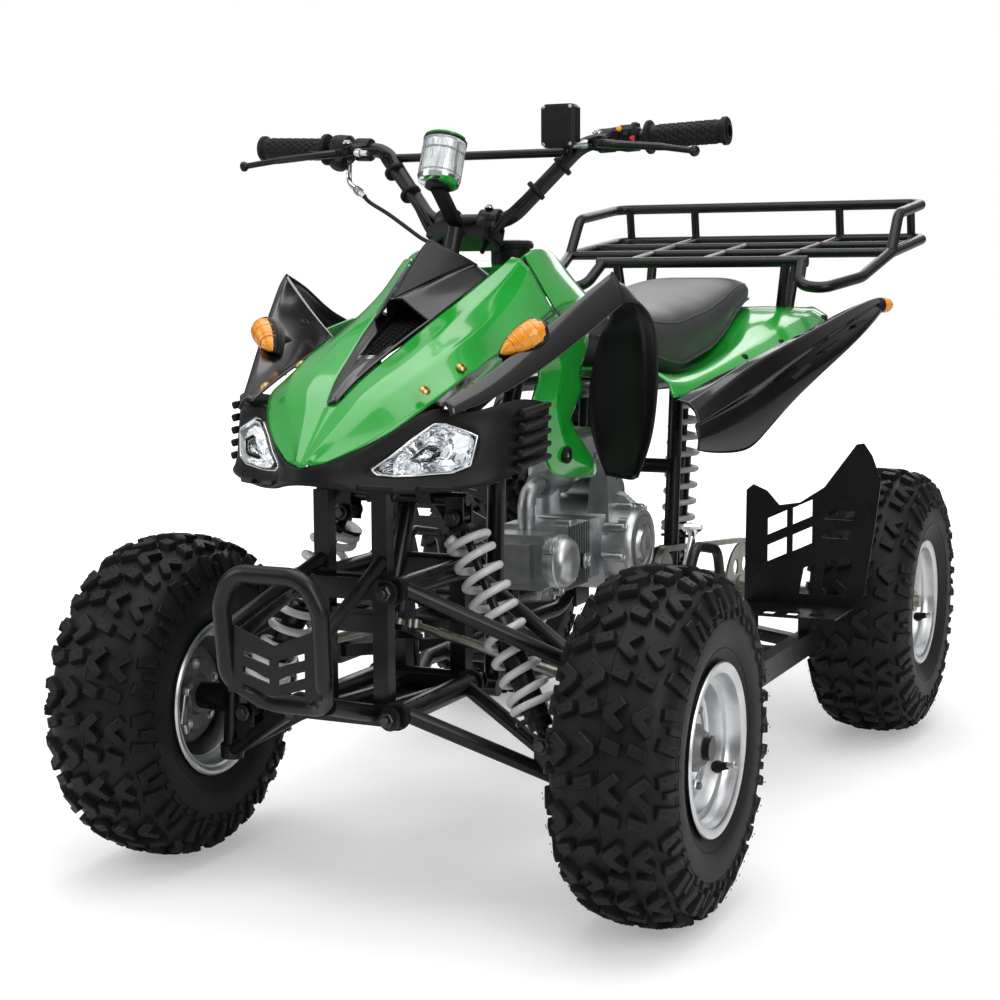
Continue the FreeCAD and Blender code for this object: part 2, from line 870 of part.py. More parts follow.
def stem():
    foot = float(v.fork_drop) + 6.0
    post = Part.makeCylinder(float(v.stem_radius), (stem_top - stem_low).Length + foot,
                             stem_low - stem_axis * foot, stem_axis)
    drop = stem_axis * float(v.fork_drop)
    fork = bar(stem_low - drop, pitman_pin - drop - stem_front * 9, float(v.pitman_spread) * 2 + 22, 8, stem_axis)
    clamp_low = bar(stem_top - stem_front * 4, stem_top - stem_front * 60, 92, 16, stem_axis)
    post_top = stem_top - stem_front * 44
    risers = []
    for side in (-1, 1):
        foot = post_top + Vector(side * 34, 0, 0)
        risers.append(bar(foot, foot + stem_axis * 24.7, 30, 34, stem_front))
    pins = []
    for side in (-1, 1):
        base = pitman_pin + Vector(side * float(v.pitman_spread), 0, 0)
        lean = Vector(side * rod_pin_axis.x, rod_pin_axis.y, rod_pin_axis.z)
        pins.append(Part.makeCylinder(4, 24, base - lean * 15, lean))
    # the rods hang above the fork on these two pins
    return fuse([post, fork, clamp_low] + risers + pins)


keep(free_shape("steering_stem", stem()), "steering_stem")

# Handlebar with its cross tube

bar_foot_y = float(bar_y) - 70.0
grip_half = float(v.bar_half_width)
grip_z = float(v.bar_grip_z)
clamp_point = stem_top - stem_front * 44 + stem_axis * 36


bend_x = 160.0
bar_drop = 9.0
bar_slope = Vector(grip_half - bend_x, 0, bar_drop)


low_x_bar = 62.0


def bar_path_tube(radius):
    left = [
        Vector(0, clamp_point.y, clamp_point.z),
        Vector(low_x_bar, clamp_point.y, clamp_point.z),
        Vector(bend_x, float(bar_y), grip_z - bar_drop),
        Vector(grip_half, float(bar_y), grip_z),
    ]
    points = [mirror(p) for p in reversed(left[1:])] + left[1:]
    return tube(points, radius, 60)


def handlebar():
    main = bar_path_tube(v.bar_tube_radius)
    low_x = low_x_bar
    cross_z = grip_z - 22
    share = (cross_z - clamp_point.z) / (grip_z - bar_drop - clamp_point.z)
    x = low_x + (bend_x - low_x) * share
    y = clamp_point.y + (float(bar_y) - clamp_point.y) * share
    cross = tube([Vector(-x, y, cross_z), Vector(x, y, cross_z)], 6.5)
    solid = fuse([main, cross])
    # plain bores in both ends for end plugs or hand shields
    for side in (-1, 1):
        inward = Vector(-side * bar_slope.x, 0, -bar_slope.z)
        end = Vector(side * grip_half, float(bar_y), grip_z)
        solid = solid.cut(Part.makeCylinder(float(v.bar_end_bore_radius), float(v.bar_end_bore_depth), end, inward))
    return solid


keep(free_shape("handlebar", handlebar()), "handlebar")

# Grips: rubber sleeves with a flange at the inner end

grip_radius = v.grip_radius


def grip(name, side):
    core = v.bar_tube_radius + 0.2
    body = lathe(name, [
        (0.0, core),
        (v.grip_length, core),
        (v.grip_length, grip_radius + 3),
        (v.grip_length - 5, grip_radius + 3),
        (v.grip_length - 8, grip_radius - 1),
        (v.grip_length * 0.5, grip_radius),
        (10.0, grip_radius - 1),
        (7.0, grip_radius + 6),
        (0.0, grip_radius + 6),
    ])
    turn = Rotation() if side > 0 else Rotation(Vector(0, 0, 1), 180)
    lean = math.degrees(math.atan2(bar_drop, grip_half - bend_x))
    tilt = Rotation(Vector(0, 1, 0), -lean)
    start = v.bar_half_width - v.grip_length - 1
    height = v.bar_grip_z - (v.grip_length + 1) * (bar_drop / (grip_half - bend_x))
    place_bound(body, start * side, bar_y, height, turn.multiply(tilt))
    return body


keep(group("grips", [grip("grip_left", 1), grip("grip_right", -1)]), "grips")


# Lever perches with switch housings and levers

def controls(side):
    inner = grip_half - float(v.grip_length) - 12
    y = float(bar_y)
    z = grip_z - 6
    core = Part.makeCylinder(float(v.bar_tube_radius) + 0.3, 300, Vector(grip_half, y, grip_z), bar_slope * -1)
    switch = Part.makeBox(36, 38, 34, Vector(inner - 34, y - 20, z - 18))
    switch = switch.makeFillet(6, switch.Edges)
    perch = Part.makeBox(26, 30, 28, Vector(inner - 61, y - 16, z - 15))
    perch = perch.makeFillet(5, perch.Edges)
    web = Part.makeBox(12, 20, 14, Vector(inner - 42, y - 12, z - 9))
    nose = tube([Vector(inner - 52, y - 10, z - 2), Vector(inner - 46, y - 44, z - 8)], 8)
    pivot = Part.makeCylinder(11, 16, Vector(inner - 46, y - 44, z - 16), Vector(0, 0, 1))
    lever = tube([Vector(inner - 46, y - 44, z - 8), Vector(inner - 10, y - 66, z - 12),
                  Vector(inner + 60, y - 72, z - 18), Vector(grip_half - 20, y - 84, z - 26)], 5, 60)
    ball = Part.makeSphere(8, Vector(grip_half - 20, y - 84, z - 26))
    solid = fuse([switch, perch, web, nose, pivot, lever, ball])
    solid = solid.cut(core)
    if side < 0:
        solid = mirrored(solid)
    return solid


keep(group("hand_controls", [free_shape("hand_control_left", controls(1)),
                             free_shape("hand_control_right", controls(-1))]), "hand_controls")

# Round gauge in front of the bars

gauge_base = Vector(0, stem_top.y - 50, stem_top.z + 60)


def gauge():
    body = lathe("gauge", [
        (0.0, 0.0),
        (v.gauge_height, 0.0),
        (v.gauge_height, v.gauge_radius - 3),
        (v.gauge_height - 4, v.gauge_radius),
        (v.gauge_height - 12, v.gauge_radius),
        (v.gauge_height - 12, v.gauge_radius - 3),
        (12.0, v.gauge_radius - 3),
        (12.0, v.gauge_radius),
        (4.0, v.gauge_radius - 2),
        (0.0, v.gauge_radius - 8),
    ])
    place(body, gauge_base, Rotation(Vector(1, 0, 0), stem_axis))
    return body


keep(gauge(), "gauge")


def gauge_stand():
    clear = 8 + float(v.seat_gap)
    foot = stem_top + stem_axis * 4 - stem_front * 14
    top = gauge_base - stem_axis * 0.3
    post = bar(Vector(0, foot.y, foot.z), top - stem_axis * 2, 20, 10, stem_front)
    post = post.cut(Part.makeCylinder(60, 40, top, stem_axis))
    post = post.cut(Part.makeCylinder(90, 60, stem_top + stem_axis * (clear - 60), stem_axis))
    pad = Part.makeCylinder(18, 4, top - stem_axis * 4, stem_axis)
    return fuse([post, pad])


keep(free_shape("gauge_stand", gauge_stand()), "gauge_stand")

# Control box above the left side of the bar

box = doc.addObject("Part::Box", "control_box_block")
bind(box, "Length", v.box_width)
bind(box, "Width", v.box_depth)
bind(box, "Height", v.box_height)
box_back = bar_y - v.bar_tube_radius - 20
place_bound(box, 118.0, box_back - v.box_depth, v.bar_grip_z - 20)
box_round = doc.addObject("Part::Fillet", "control_box_round")
box_round.Base = box
doc.recompute()
box_round.Edges = [(i + 1, 4.0, 4.0) for i in range(len(box.Shape.Edges))]
box_lug = doc.addObject("Part::Cylinder", "control_box_lug")
box_lug.Radius = 9
box_lug.Height = 46
place_bound(box_lug, 146.0, box_back - 6, v.bar_grip_z - 12, Rotation(Vector(1, 0, 0), -90))
box_bar = free_shape("control_box_bar", bar_path_tube(float(v.bar_tube_radius + v.seat_gap)))
box_body = doc.addObject("Part::Fuse", "control_box_body")
box_body.Base = box_round
box_body.Tool = box_lug
box_seated = doc.addObject("Part::Cut", "control_box_seated")
box_seated.Base = box_body
box_seated.Tool = box_bar
doc.recompute()
box_solid = sorted(box_seated.Shape.Solids, key=lambda item: item.Volume)[-1]
keep(free_shape("control_box", box_solid), "control_box")

# Chassis frame

r = float(v.frame_tube_radius)
ux = float(v.upright_x)
uf = -float(v.upright_forward)
lx = float(v.lower_rail_x)
lz = float(v.lower_rail_z)
sx = float(v.seat_rail_x)
sz = float(v.seat_rail_z)
low_x = float(v.lower_arm_pivot_x)
low_z = float(v.lower_arm_pivot_z)
up_x = float(v.upper_arm_pivot_x)
up_z = float(v.upper_arm_pivot_z)
pivot_front = -float(v.arm_pivot_front)
pivot_rear = pivot_front + float(v.arm_pivot_length)
swing_back = -float(v.swing_pivot_back)
swing_z = float(v.swing_pivot_z)
rear_shock_top = R(0, 18, 660)
rear_shock_low = R(0, -46, 310)


shroud_x = 176.0


def side_frame():
    lower = tube([F(ux - 8, uf + 8, lz + 16), F(ux - 6, pivot_rear + 34, lz), F(lx, pivot_rear + 200, lz),
                  F(lx, pivot_rear + 520, lz), R(lx - 16, swing_back - 55, lz), R(lx - 20, swing_back + 30, lz + 60),
                  R(lx - 20, swing_back + 60, sz)], r, 70)
    top_rail = tube([F(ux, uf + 6, 556), F(ux + 6, -40, 600), F(30, 96, 742), F(sx - 10, 250, 740),
                     F(sx, 420, sz + 10), R(sx, -250, sz), R(sx, 30, sz + 50), R(sx, 200, sz + 92)], r, 60)
    down = tube([F(sx - 14, 240, 738), F(sx - 4, 130, 560), F(lx - 40, pivot_rear + 82, lz)], r, 60)
    upright = bar(F(ux, uf, lz + 8), F(ux, uf, 565), float(v.flat_tube_width), float(v.flat_tube_depth),
                  Vector(0, -1, 0))
    post_back = pivot_rear + float(v.seat_gap) + 5.0 + 12.0
    front_post = bar(F(ux + 4, post_back, lz + 6), F(ux + 4, post_back, 500), 24, 24, Vector(0, -1, 0))
    post_lean = bar(F(ux + 4, post_back, 492), F(ux + 2, -30, 600), 22, 22, Vector(0, -1, 0))
    shock_x = float(v.shock_top_x)
    shock_z = float(v.shock_top_z)
    shock_back = 34 - float(v.shock_forward)
    shock_mount = tube([F(-1, shock_back, shock_z + 24), F(shock_x + 14, shock_back, shock_z + 24)], 9)
    shock_strut = bar(F(ux - 4, shock_back, shock_z + 20), F(ux, -30, 600), 22, 22, Vector(0, -1, 0))
    reach = float(v.shock_eye_half + v.seat_gap) + 2.0
    ears = [bar(F(shock_x, shock_back - reach, shock_z + 24), F(shock_x, shock_back + reach, shock_z + 24), 26, 8)]
    for sign in (-1, 1):
        ears.append(bar(F(shock_x, shock_back + sign * reach, shock_z + 28), F(shock_x, shock_back + sign * reach, shock_z - 12),
                        26, 4, Vector(0, -1, 0)))
    rack_stay = tube([R(sx, -30, sz + 30), R(sx + 60, float(v.rack_front_back) + 26, 762)], 9)
    fender_stay = tube([F(ux, -30, 600), F(126, 40, 690), F(200, 84, 830)], 7, 40)
    shroud_stay = tube([F(sx - 10, 130, 590), F(shroud_x - float(v.panel_thickness) / 2, 130, 590)], 7)
    hood_stay = tube([F(ux, uf, 560), F(62, -150, 620), F(62, -150, 730)], 7, 30)
    tank_stay = tube([F(sx - 10, 262, 735), F(70, 300, 890)], 8)
    return [lower, top_rail, down, upright, front_post, post_lean, shock_mount, shock_strut, rack_stay, shroud_stay,
            shock_mount] + ears, [fender_stay, hood_stay, tank_stay]


def frame():
    half, stays = side_frame()
    # the stays end flush on the inner faces of the panels they carry
    flush = []
    for stay, covers in zip(stays, ((front_fender_left_shape,), (hood_shape,), (tank_cover_shape,))):
        for cover in covers:
            left = stay.cut(cover)
            flush.append(sorted(left.Solids, key=lambda item: item.CenterOfMass.z)[0])
    half = half + flush
    pieces = half + [mirrored(item) for item in half]
    for back, z, x in ((uf, lz + 12, ux), (uf, 444, ux), (uf, 392, ux), (pivot_rear, 430, ux)):
        pieces.append(bar(F(-x, back, z), F(x, back, z), 18, 24))
    for a, b, x in ((F(0, pivot_rear + 60, lz), None, lx - 20), (F(0, 330, lz), None, lx)):
        pieces.append(tube([Vector(-x, a.y, a.z), Vector(x, a.y, a.z)], r))
    pieces.append(tube([F(-ux - 6, -30, 600), F(ux + 6, -30, 600)], r))
    pieces.append(tube([F(-sx + 10, 250, 740), F(sx - 10, 250, 740)], r))
    for back, z in ((-250, sz), (30, sz + 50), (200, sz + 92)):
        pieces.append(tube([R(-sx, back, z), R(sx, back, z)], r))
    pieces.append(tube([R(-lx + 20, swing_back + 30, lz + 60 + 190), R(lx - 20, swing_back + 30, lz + 250)], r))
    # lower front tray between the arm pivots
    pieces.append(bar(F(0, uf, lz + 4), F(0, pivot_rear + 40, lz + 4), ux * 2 + 14, 4))
    # tabs that hold the ends of the arm bushes
    tab = 5.0
    for z, x in ((low_z, low_x), (up_z, up_x)):
        for back in (pivot_front - float(v.seat_gap) - tab / 2, pivot_rear + float(v.seat_gap) + tab / 2):
            pieces.append(bar(F(-x - 14, back, z), F(x + 14, back, z), tab, 28))
    for back, z in ((pivot_rear + tab / 2, up_z), (pivot_rear + tab / 2, low_z)):
        pieces.append(bar(F(-ux - 6, back, z), F(ux + 6, back, z), tab + 20, 16))
    for z in (low_z, up_z):
        for side in (-1, 1):
            pieces.append(bar(F(side * ux, uf, z), F(side * ux, pivot_front - tab, z), 18, 22))
    # ears for the upper eye of the rear shock, below the cross tube
    for side in (-1, 1):
        y = side * (float(v.shock_eye_half + v.seat_gap) + 2.0)
        at = rear_shock_top + Vector(0, y, 0)
        pieces.append(bar(at + Vector(0, 0, sz + 50 - at.z), at - Vector(0, 0, 12), 26, 4, Vector(0, 1, 0)))
    pieces.append(bar(rear_shock_top + Vector(0, -15, sz + 44 - rear_shock_top.z), rear_shock_top + Vector(0, 15, sz + 44 - rear_shock_top.z), 26, 12))
    # swing arm pivot plates
    for side in (-1, 1):
        pieces.append(bar(R(side * (float(v.swing_pivot_half) + float(v.seat_gap) + 3), swing_back, swing_z - 60),
                          R(side * (float(v.swing_pivot_half) + float(v.seat_gap) + 3), swing_back, swing_z + 50), 6, 60,
                          Vector(0, -1, 0)))
    solid = fuse(pieces)
    # the stem turns in the head tube and the foot bearing
    head_low = stem_low + stem_axis * 360
    head = Part.makeCylinder(float(v.stem_tube_radius), 60, head_low, stem_axis)
    foot = Part.makeCylinder(float(v.stem_tube_radius), 26, stem_low + stem_axis * 8, stem_axis)
    foot_web = bar(F(-ux, uf + 6, 404), F(ux, uf + 6, 404), 26, 14)
    foot_tie = bar(F(0, uf, 406), stem_low + stem_axis * 20, 22, 20)
    head_tie = bar(F(-34, 96, 742), F(34, 96, 742), 24, 20)
    solid = fuse([solid, head, foot, foot_web, foot_tie, head_tie])
    bore = Part.makeCylinder(float(v.stem_radius + v.running_gap), 700, stem_low - stem_axis * 60, stem_axis)
    return solid.cut(bore)


# A-arms: bush tube on the frame, two legs meeting at the ball joint

def a_arm(pivot_x, pivot_z, end, setback, up):
    """One arm; the knuckle's pin turns in the bore of its socket."""
    front = F(pivot_x, pivot_front, pivot_z)
    rear = F(pivot_x, pivot_rear, pivot_z)
    bush = tube([front, rear], v.arm_bush_radius)
    legs = [tube([F(pivot_x + 6, pivot_front + 18, pivot_z), end], v.arm_tube_radius),
            tube([F(pivot_x + 6, pivot_rear - setback, pivot_z), end], v.arm_tube_radius)]
    socket = Part.makeCylinder(17, 20, end - kingpin_axis * 10, kingpin_axis)
    solid = fuse([bush] + legs + [socket])
    bore = Part.makeCylinder(float(v.kingpin_radius + v.running_gap), 80, end - kingpin_axis * 40, kingpin_axis)
    room = Part.makeCylinder(24, 30, end + kingpin_axis * (10 if up > 0 else -40), kingpin_axis)
    return solid.cut(bore).cut(room)


ball_low = kingpin_low
ball_high = kingpin_high
lower_arm = a_arm(low_x, low_z, ball_low, 30, 1)
shock_reach = float(v.shock_eye_half + v.seat_gap) + 2.0
shock_foot_z = low_z - (low_z - float(v.kingpin_low_z)) * (float(v.shock_low_x) - low_x) / (float(v.kingpin_low_x) - low_x)
bracket = [bar(F(v.shock_low_x, -float(v.shock_forward) - shock_reach - 2, shock_foot_z + 6), F(v.shock_low_x, 16, shock_foot_z + 6),
               26, 8)]
for sign in (-1, 1):
    back = -float(v.shock_forward) + sign * shock_reach
    bracket.append(bar(F(v.shock_low_x, back, shock_foot_z + 2), F(v.shock_low_x, back, v.shock_low_z + 12), 26, 4,
                       Vector(0, -1, 0)))
lower_arm = fuse([lower_arm] + bracket)
keep(group("lower_arms", [free_shape("lower_arm_left", lower_arm),
                          free_shape("lower_arm_right", mirrored(lower_arm))]), "lower_arms")
upper_arm = a_arm(up_x, up_z, ball_high, 16, -1)
keep(group("upper_arms", [free_shape("upper_arm_left", upper_arm),
                          free_shape("upper_arm_right", mirrored(upper_arm))]), "upper_arms")


# Dampers and coil springs

def damper(top, low):
    along = low - top
    length = along.Length
    along.normalize()
    side = along.cross(Vector(0, 1, 0))
    side.normalize()
    half = float(v.shock_eye_half)
    eye_top = Part.makeCylinder(12, 2 * half, top - Vector(0, half, 0), Vector(0, 1, 0))
    eye_low = Part.makeCylinder(12, 2 * half, low - Vector(0, half, 0), Vector(0, 1, 0))
    rod = Part.makeCylinder(6, length * 0.55, top, along)
    tank = Part.makeCylinder(17, length * 0.54 - 20, top + along * (length * 0.46), along)
    neck = Part.makeCylinder(9, 24, low - along * 24, along)
    cup_top = Part.makeCylinder(float(v.spring_radius) + 5, 5, top + along * 18, along)
    cup_low = Part.makeCylinder(float(v.spring_radius) + 5, 5, low - along * 38, along)
    return fuse([eye_top, eye_low, rod, tank, neck, cup_top, cup_low])


def spring(top, low):
    """Coil of diamond section wound between the two cups."""
    along = low - top
    length = along.Length - 18 - 38 - 5 - 5 - 0.6
    along.normalize()
    wire = float(v.spring_wire)
    turns = float(v.spring_turns)
    radius = float(v.spring_radius)
    rise = length - 2 * wire
    steps = 10
    count = int(round(turns * steps))
    seated = Placement(top + along * (23.3 + wire), Rotation(Vector(0, 0, 1), along))
    rings = []
    for i in range(count + 1):
        angle = 2 * math.pi * i / steps
        height = rise * i / count
        out = Vector(math.cos(angle), math.sin(angle), 0)
        up = Vector(0, 0, 1)
        centre = out * radius + up * height
        ring_points = [centre + out * wire, centre + up * wire, centre - out * wire, centre - up * wire]
        rings.append([seated.multVec(p) for p in ring_points])
    faces = []
    for a, b in zip(rings, rings[1:]):
        for k in range(4):
            n = (k + 1) % 4
            faces.append(Part.Face(Part.makePolygon([a[k], a[n], b[n], a[k]])))
            faces.append(Part.Face(Part.makePolygon([a[k], b[n], b[k], a[k]])))
    for cap in (rings[0], rings[-1]):
        faces.append(Part.Face(Part.makePolygon(cap + [cap[0]])))
    shell = Part.Shell(faces)
    shell.sewShape()
    solid = Part.Solid(shell)
    if solid.Volume < 0:
        solid.reverse()
    return solid


shock_top = F(v.shock_top_x, -float(v.shock_forward) + 34, v.shock_top_z)
shock_low = F(v.shock_low_x, -float(v.shock_forward), v.shock_low_z)
left_damper = damper(shock_top, shock_low)
left_spring = spring(shock_top, shock_low)
rear_damper = damper(rear_shock_top, rear_shock_low)
rear_spring = spring(rear_shock_top, rear_shock_low)
keep(group("dampers", [free_shape("damper_left", left_damper), free_shape("damper_right", mirrored(left_damper)),
                       free_shape("damper_rear", rear_damper)]), "dampers")
keep(group("springs", [free_shape("spring_left", left_spring), free_shape("spring_right", mirrored(left_spring)),
                       free_shape("spring_rear", rear_spring)]), "springs")


# Bull bar: closed loop with a slotted plate

def bumper():
    reach = -float(v.bumper_reach)
    bw = float(v.bumper_half_width)
    top = float(v.bumper_top_z)
    low = float(v.bumper_low_z)
    lean = 22.0
    points = [F(bw * 0.72, reach + lean * 0.0, top), F(bw, reach + 6, top - 42), F(bw * 0.98, reach + 14, low + 40),
              F(bw * 0.6, reach + 60, low), F(-bw * 0.6, reach + 60, low), F(-bw * 0.98, reach + 14, low + 40),
              F(-bw, reach + 6, top - 42), F(-bw * 0.72, reach, top)]
    loop = loop_tube(points, v.bumper_tube_radius, 34)
    pieces = [loop]
    for side in (-1, 1):
        pieces.append(tube([F(side * bw, reach + 10, top - 74), F(side * ux, uf + 4, 478)], 9))
        pieces.append(tube([F(side * bw * 0.7, reach + 56, low + 4), F(side * (ux - 3), uf - 34, lz + 22),
                            F(side * (ux - 3), uf + 4, lz + 22)], 11, 20))
    sheet_top = top - 66
    sheet_low = low + 22
    solid = fuse(pieces)
    behind = Part.makeBox(400, 200, 600, F(-200, uf - float(v.flat_tube_depth) / 2 - float(v.seat_gap), 100))
    tabs = Part.makeBox(400, 200, 230, F(-200, pivot_front - 2 * float(v.seat_gap) - 5.0, 100))
    solid = solid.cut(behind).cut(tabs)
    left = F(bw - 4, reach + 12, 0)
    plate_shape = bar(Vector(-left.x, left.y, (sheet_top + sheet_low) / 2), Vector(left.x, left.y,
                      (sheet_top + sheet_low) / 2), 3, sheet_top - sheet_low)
    notch = Part.makePolygon([Vector(-60, left.y - 20, sheet_top + 1), Vector(60, left.y - 20, sheet_top + 1),
                              Vector(0, left.y - 20, sheet_top - 22), Vector(-60, left.y - 20, sheet_top + 1)])
    plate_shape = plate_shape.cut(Part.Face(notch).extrude(Vector(0, 60, 0)))
    for k in range(3):
        z = sheet_top - 40 - k * 22
        for side in (-1, 1):
            slot = Part.makePolygon([Vector(side * 44, left.y - 20, z + 12), Vector(side * 44, left.y - 20, z + 4),
                                     Vector(side * 6, left.y - 20, z - 8), Vector(side * 6, left.y - 20, z),
                                     Vector(side * 44, left.y - 20, z + 12)])
            plate_shape = plate_shape.cut(Part.Face(slot).extrude(Vector(0, 60, 0)))
    return fuse([solid, plate_shape])


keep(free_shape("front_bumper", bumper()), "front_bumper")


# Swing arm with the axle carrier

def swing_arm():
    pivot_half = float(v.swing_pivot_half)
    pivot = tube([R(-pivot_half, swing_back, swing_z), R(pivot_half, swing_back, swing_z)], 17)
    ax = float(v.swing_arm_x)
    pieces = [pivot]
    axle_z = float(v.rear_tyre_radius)
    for side in (-1, 1):
        pieces.append(bar(R(side * (ax - 16), swing_back, swing_z), R(side * ax, 0, axle_z), 24, 40))
    pieces.append(tube([R(-ax, -150, 300), R(ax, -150, 300)], 14))
    carrier = tube([R(-float(v.axle_carrier_half), 0, axle_z), R(float(v.axle_carrier_half), 0, axle_z)],
                   v.axle_carrier_radius)
    pieces.append(carrier)
    # ears for the lower eye of the shock, which is turned crosswise
    for side in (-1, 1):
        y = side * (float(v.shock_eye_half + v.seat_gap) + 2.0)
        ear = bar(Vector(rear_shock_low.x, rear_shock_low.y + y, axle_z + 10), Vector(rear_shock_low.x, rear_shock_low.y + y,
                  rear_shock_low.z + 12), 26, 4, Vector(0, 1, 0))
        pieces.append(ear)
    pieces.append(bar(rear_shock_low + Vector(0, -16, axle_z + 20 - rear_shock_low.z),
                      R(0, -6, axle_z + 20), 40, 12))
    solid = fuse(pieces)
    bore = tube([R(-200, 0, axle_z), R(200, 0, axle_z)], float(v.axle_radius + v.running_gap))
    return solid.cut(bore)


keep(free_shape("swing_arm", swing_arm()), "swing_arm")

# Rear axle with its two hubs, a toothed sprocket and a brake disc

axle_hub_face = v.rear_track / 2 + face - t


def axle_profile(side):
    return [
        (axle_hub_face - 40, v.axle_radius + 10),
        (axle_hub_face - 8, v.axle_radius + 12),
        (axle_hub_face - 8, v.hub_flange_radius),
        (axle_hub_face, v.hub_flange_radius),
        (axle_hub_face, v.hub_radius),
        (axle_hub_face + 14, v.hub_radius),
        (axle_hub_face + 14, v.axle_radius + 4),
        (axle_hub_face + 26, v.axle_radius + 4),
        (axle_hub_face + 26, v.axle_radius - 4),
        (axle_hub_face + 34, v.axle_radius - 4),
    ]


right_half = axle_profile(1)
left_half = [(-a, b) for a, b in reversed(right_half)]
outline = [(-(axle_hub_face + 34), 0.0)] + left_half
outline += [(-(axle_hub_face - 40), v.axle_radius), (axle_hub_face - 40, v.axle_radius)]
outline += right_half + [(axle_hub_face + 34, 0.0)]
rear_axle = lathe("rear_axle", outline)
for side, name in ((1, "left"), (-1, "right")):
    sketch = new_sketch(rear_axle, "axle_stud_%s_circle" % name, "YZ_Plane")
    ring(sketch, v.stud_circle_radius, 0.0, v.stud_radius)
    sketch.AttachmentOffset = Placement(Vector(0, 0, side * (axle_hub_face - 6).number), Rotation())
    stud = rear_axle.newObject("PartDesign::Pad", "axle_stud_" + name)
    stud.Profile = sketch
    stud.Length = 22
    stud.Reversed = side < 0
    polar(rear_axle, stud, "axle_studs_" + name, "X_Axis", 4)
place_bound(rear_axle, 0.0, rear_y, v.rear_tyre_radius)
keep(rear_axle, "rear_axle")

sprocket = lathe("sprocket", [
    (v.sprocket_x - 14, v.axle_radius + v.tyre_seat_gap),
    (v.sprocket_x + 4, v.axle_radius + v.tyre_seat_gap),
    (v.sprocket_x + 4, v.axle_radius + 12),
    (v.sprocket_x + 2, v.axle_radius + 12),
    (v.sprocket_x + 2, v.sprocket_radius + 3),
    (v.sprocket_x - 2, v.sprocket_radius + 3),
    (v.sprocket_x - 2, v.axle_radius + 16),
    (v.sprocket_x - 14, v.axle_radius + 16),
])
hole = cut_through(sprocket, "sprocket_hole", "YZ_Plane", [], [(v.sprocket_radius * 0.62, 0.0, 15.0)])
polar(sprocket, hole, "sprocket_holes", "X_Axis", 6)
place_bound(sprocket, 0.0, rear_y, v.rear_tyre_radius)
keep(sprocket, "sprocket")

disc = lathe("brake_disc", [
    (-v.brake_disc_x - 4, v.axle_radius + v.tyre_seat_gap),
    (-v.brake_disc_x + 14, v.axle_radius + v.tyre_seat_gap),
    (-v.brake_disc_x + 14, v.axle_radius + 14),
    (-v.brake_disc_x + 2, v.axle_radius + 14),
    (-v.brake_disc_x + 2, v.brake_disc_radius),
    (-v.brake_disc_x - 2, v.brake_disc_radius),
    (-v.brake_disc_x - 2, v.axle_radius + 10),
    (-v.brake_disc_x - 4, v.axle_radius + 10),
])
hole = cut_through(disc, "disc_hole", "YZ_Plane", [], [(v.brake_disc_radius * 0.56, 0.0, 13.0)])
polar(disc, hole, "disc_holes", "X_Axis", 6)
place_bound(disc, 0.0, rear_y, v.rear_tyre_radius)
keep(disc, "brake_disc")


# Chain: band round the two sprockets

def chain():
    x = float(v.sprocket_x)
    back = R(0, 0, v.rear_tyre_radius)
    front = F(0, float(v.crank_back) + 96, float(v.crank_z) - 62)
    big = float(v.sprocket_radius) + 3.4
    small = float(v.drive_sprocket_radius) + 3.4
    height = float(v.chain_height)
    wide = float(v.chain_thickness) * 2
    axis = front - back
    reach = axis.Length
    axis.normalize()
    normal = Vector(0, -axis.z, axis.y)
    lean = math.asin((big - small) / reach)

    def outline(extra):
        edges = []
        top = axis * math.sin(lean) + normal * math.cos(lean)
        low = axis * math.sin(lean) - normal * math.cos(lean)
        a, b = back + top * (big + extra), front + top * (small + extra)
        c, d = front + low * (small + extra), back + low * (big + extra)
        edges.append(Part.LineSegment(a, b).toShape())
        edges.append(Part.Arc(b, front + axis * (small + extra), c).toShape())
        edges.append(Part.LineSegment(c, d).toShape())
        edges.append(Part.Arc(d, back - axis * (big + extra), a).toShape())
        return Part.Wire(edges)

    outer = Part.Face(outline(height))
    inner = Part.Face(outline(0))
    solid = outer.extrude(Vector(wide, 0, 0)).cut(inner.extrude(Vector(wide, 0, 0)))
    return solid.translated(Vector(x - wide / 2, 0, 0))


keep(free_shape("chain", chain()), "chain")

# Engine: crankcase with round side cover, finned cylinder and head lying forward

crank = F(0, v.crank_back, v.crank_z)
half_case = float(v.crankcase_width) / 2


